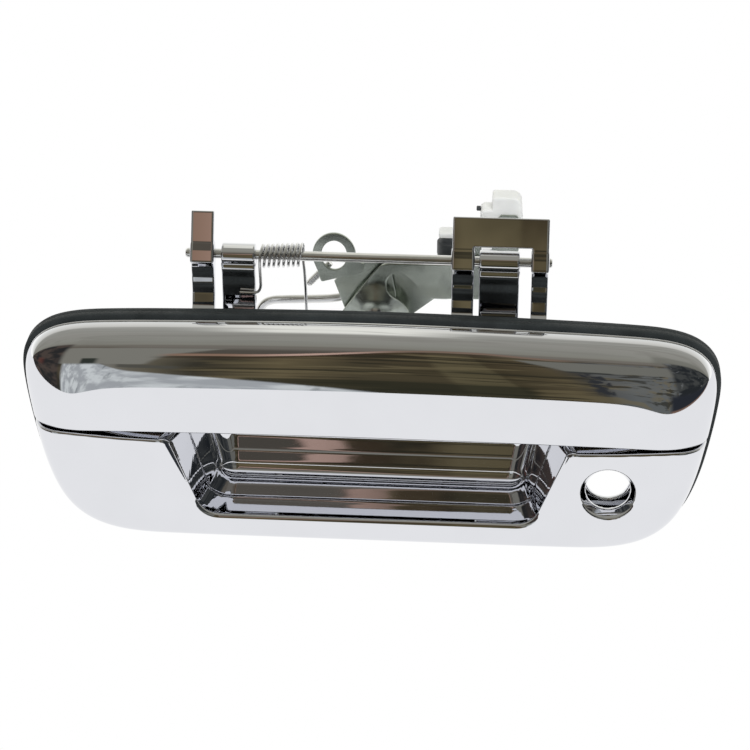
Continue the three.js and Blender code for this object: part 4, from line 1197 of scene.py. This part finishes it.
# streaks and shelves
st = wnoise(AZ_, EL_, 0.22, 0.16, 4, 3.1)
col = wmix(room * step(st, 0.50, 0.62) * 0.55 * step(AZ_, -9.0, -8.0), col, seen((104, 95, 72)))
st2 = wnoise(AZ_, EL_, 0.16, 0.30, 4, 7.7)
col = wmix(room * step(st2, 0.52, 0.60) * 0.75 * step(AZ_, -9.0, -8.0), col, seen((38, 37, 30)))
low = band(EL_, -40, -12.5, 1.0) * band(AZ_, -7.1, 0.4, 0.25)
col = wmix(low * 0.8, col, seen((42, 42, 33)))
busy = band(AZ_, 2.2, 3.1, 0.08) * band(EL_, -16, 15, 0.8)
bn = wnoise(AZ_, EL_, 2.6, 0.20, 3, 1.3)
col = wmix(busy * step(bn, 0.44, 0.52), col, seen((44, 46, 50)))
shelf = band(EL_, 11.5, 16.5, 0.7) * band(AZ_, 1.9, 3.8, 0.2)
col = wmix(shelf, col, seen((52, 54, 53)))
wallr = step(AZ_ + EL_ * 0.05, 2.4, 2.7) * band(EL_, 14, 30, 1.0)
col = wmix(wallr, col, seen((104, 104, 99)))
walll = step(AZ_, -9.7, -10.2) * band(EL_, 4, 34, 1.0)
col = wmix(walll, col, seen((117, 116, 110)))
blot = band(AZ_, -19.0, -14.6, 0.8) * band(EL_, 3, 13, 1.0)
col = wmix(blot, col, seen((46, 50, 46)))
dashl = band(EL_ + AZ_ * 1.1, -12.4, -8.2, 0.8) * band(AZ_, -11.2, -8.7, 0.3)
col = wmix(dashl * 0.8, col, seen((72, 72, 68)))
# copper coloured lath at the foot of the wall
lath = band(above_foot, -2.2, 2.2, 0.6) * step(AZ_, -10.7, -9.6) * step(AZ_, 3.5, 2.0)
lathc = wmix(step(AZ_, -6.0, -2.7), wmix(step(AZ_, -8.7, -6.3), seen((128, 104, 90)), seen((176, 148, 137))), seen((114, 97, 86)))
col = wmix(lath, col, lathc)
under = band(above_foot, -6.5, -2.6, 0.8) * step(AZ_, -10.7, -9.3) * step(AZ_, 1.0, -0.6)
col = wmix(under * 0.65, col, seen((52, 42, 33)))
# folded cloth, front left
fold = wnoise(AZ_ + EL_ * 0.12, EL_ - AZ_ * 1.5, 0.35, 0.09, 4, 5.0)
ctop = EL_ + AZ_ * 3.05 + 37.0
cloth = step(ctop, 1.2, -1.2) * step(EL_, 6, 2) * step(AZ_, -30.0, -27.0) * step(EL_, -58, -50)
clothc = wmix(step(fold, 0.42, 0.60), seen((152, 156, 161)), seen((190, 195, 198)))
deep = wnoise(AZ_ - EL_ * 0.05, EL_ - AZ_ * 2.2, 0.9, 0.05, 3, 9.0)
clothc = wmix(step(deep, 0.60, 0.70) * 0.8, clothc, seen((112, 117, 121)))
col = wmix(cloth, col, clothc)
# left and right of the room
sn = wnoise(AZ_, EL_, 0.06, 0.08, 2, 12.0)
left = step(AZ_, -28, -34) * band(EL_, -30, 44, 3)
leftc = wmix(step(sn, 0.42, 0.60), seen((40, 40, 41)), seen((70, 62, 58)))
leftc = wmix(band(AZ_, -66, -54, 5) * band(EL_, 0, 14, 5) * 0.6, leftc, seen((90, 50, 45)))
col = wmix(left, col, leftc)
right = step(AZ_, 19, 24) * band(EL_, -14, 44, 3)
rightc = wmix(step(sn, 0.42, 0.60), seen((36, 39, 42)), seen((62, 64, 64)))
rightc = wmix(step(wnoise(AZ_, EL_, 0.10, 0.10, 2, 18.0), 0.62, 0.70) * 0.6, rightc, seen((110, 112, 114)))
col = wmix(right, col, rightc)
rlow = step(AZ_, 14, 19) * band(EL_, -26, -10, 3)
col = wmix(rlow, col, seen((38, 41, 48)))
rim = step(AZ_, 14, 19) * band(EL_, -26, -22.5, 1.0)
col = wmix(rim, col, seen((120, 97, 86)))
bg = wt.nodes.new("ShaderNodeBackground")
wt.links.new(col, bg.inputs["Color"])
plain = wt.nodes.new("ShaderNodeBackground")
plain.inputs["Color"].default_value = (1, 1, 1, 1)
plain.inputs["Strength"].default_value = 1.0
lp = wt.nodes.new("ShaderNodeLightPath")
ms = wt.nodes.new("ShaderNodeMixShader")
wt.links.new(lp.outputs["Is Camera Ray"], ms.inputs[0])
wt.links.new(bg.outputs[0], ms.inputs[1])
wt.links.new(plain.outputs[0], ms.inputs[2])
wo = wt.nodes.new("ShaderNodeOutputWorld")
wt.links.new(ms.outputs[0], wo.inputs["Surface"])

# soft front fill for the dull pieces; the mirror finishes do not show it
fill = bpy.data.lights.new("front_fill", "AREA")
fill.shape = "SQUARE"
fill.size = 1.0
fill.energy = 22.0
fill_ob = bpy.data.objects.new("front_fill", fill)
bpy.context.scene.collection.objects.link(fill_ob)
fill_ob.location = (0.2, -1.2, 1.0)
fill_ob.rotation_euler = (Vector((0.2, -1.2, 1.0))).to_track_quat("Z", "Y").to_euler()
fill_ob.visible_glossy = False

bpy.context.scene.view_settings.view_transform = "Standard"
bpy.context.scene.view_settings.look = "None"

# ------------------------------------------------------------------ camera (as measured from the reference view)
cam = bpy.data.cameras.new("camera")
cam.sensor_width = 36.0
cam.lens = 36.0 * 2478.25 / 750.0
cam.clip_start = 0.05
cam.clip_end = 50
camera = bpy.data.objects.new("camera", cam)
bpy.context.scene.collection.objects.link(camera)
AZ, EL, DIST = math.radians(4.0), math.radians(28.0), 1.150
target = Vector((0.00145, 0.01093, 0.02031))
back_dir = Vector((math.sin(AZ) * math.cos(EL), -math.cos(AZ) * math.cos(EL), math.sin(EL)))
camera.location = target + back_dir * DIST
camera.rotation_euler = (-back_dir).to_track_quat("-Z", "Y").to_euler()
bpy.context.scene.camera = camera
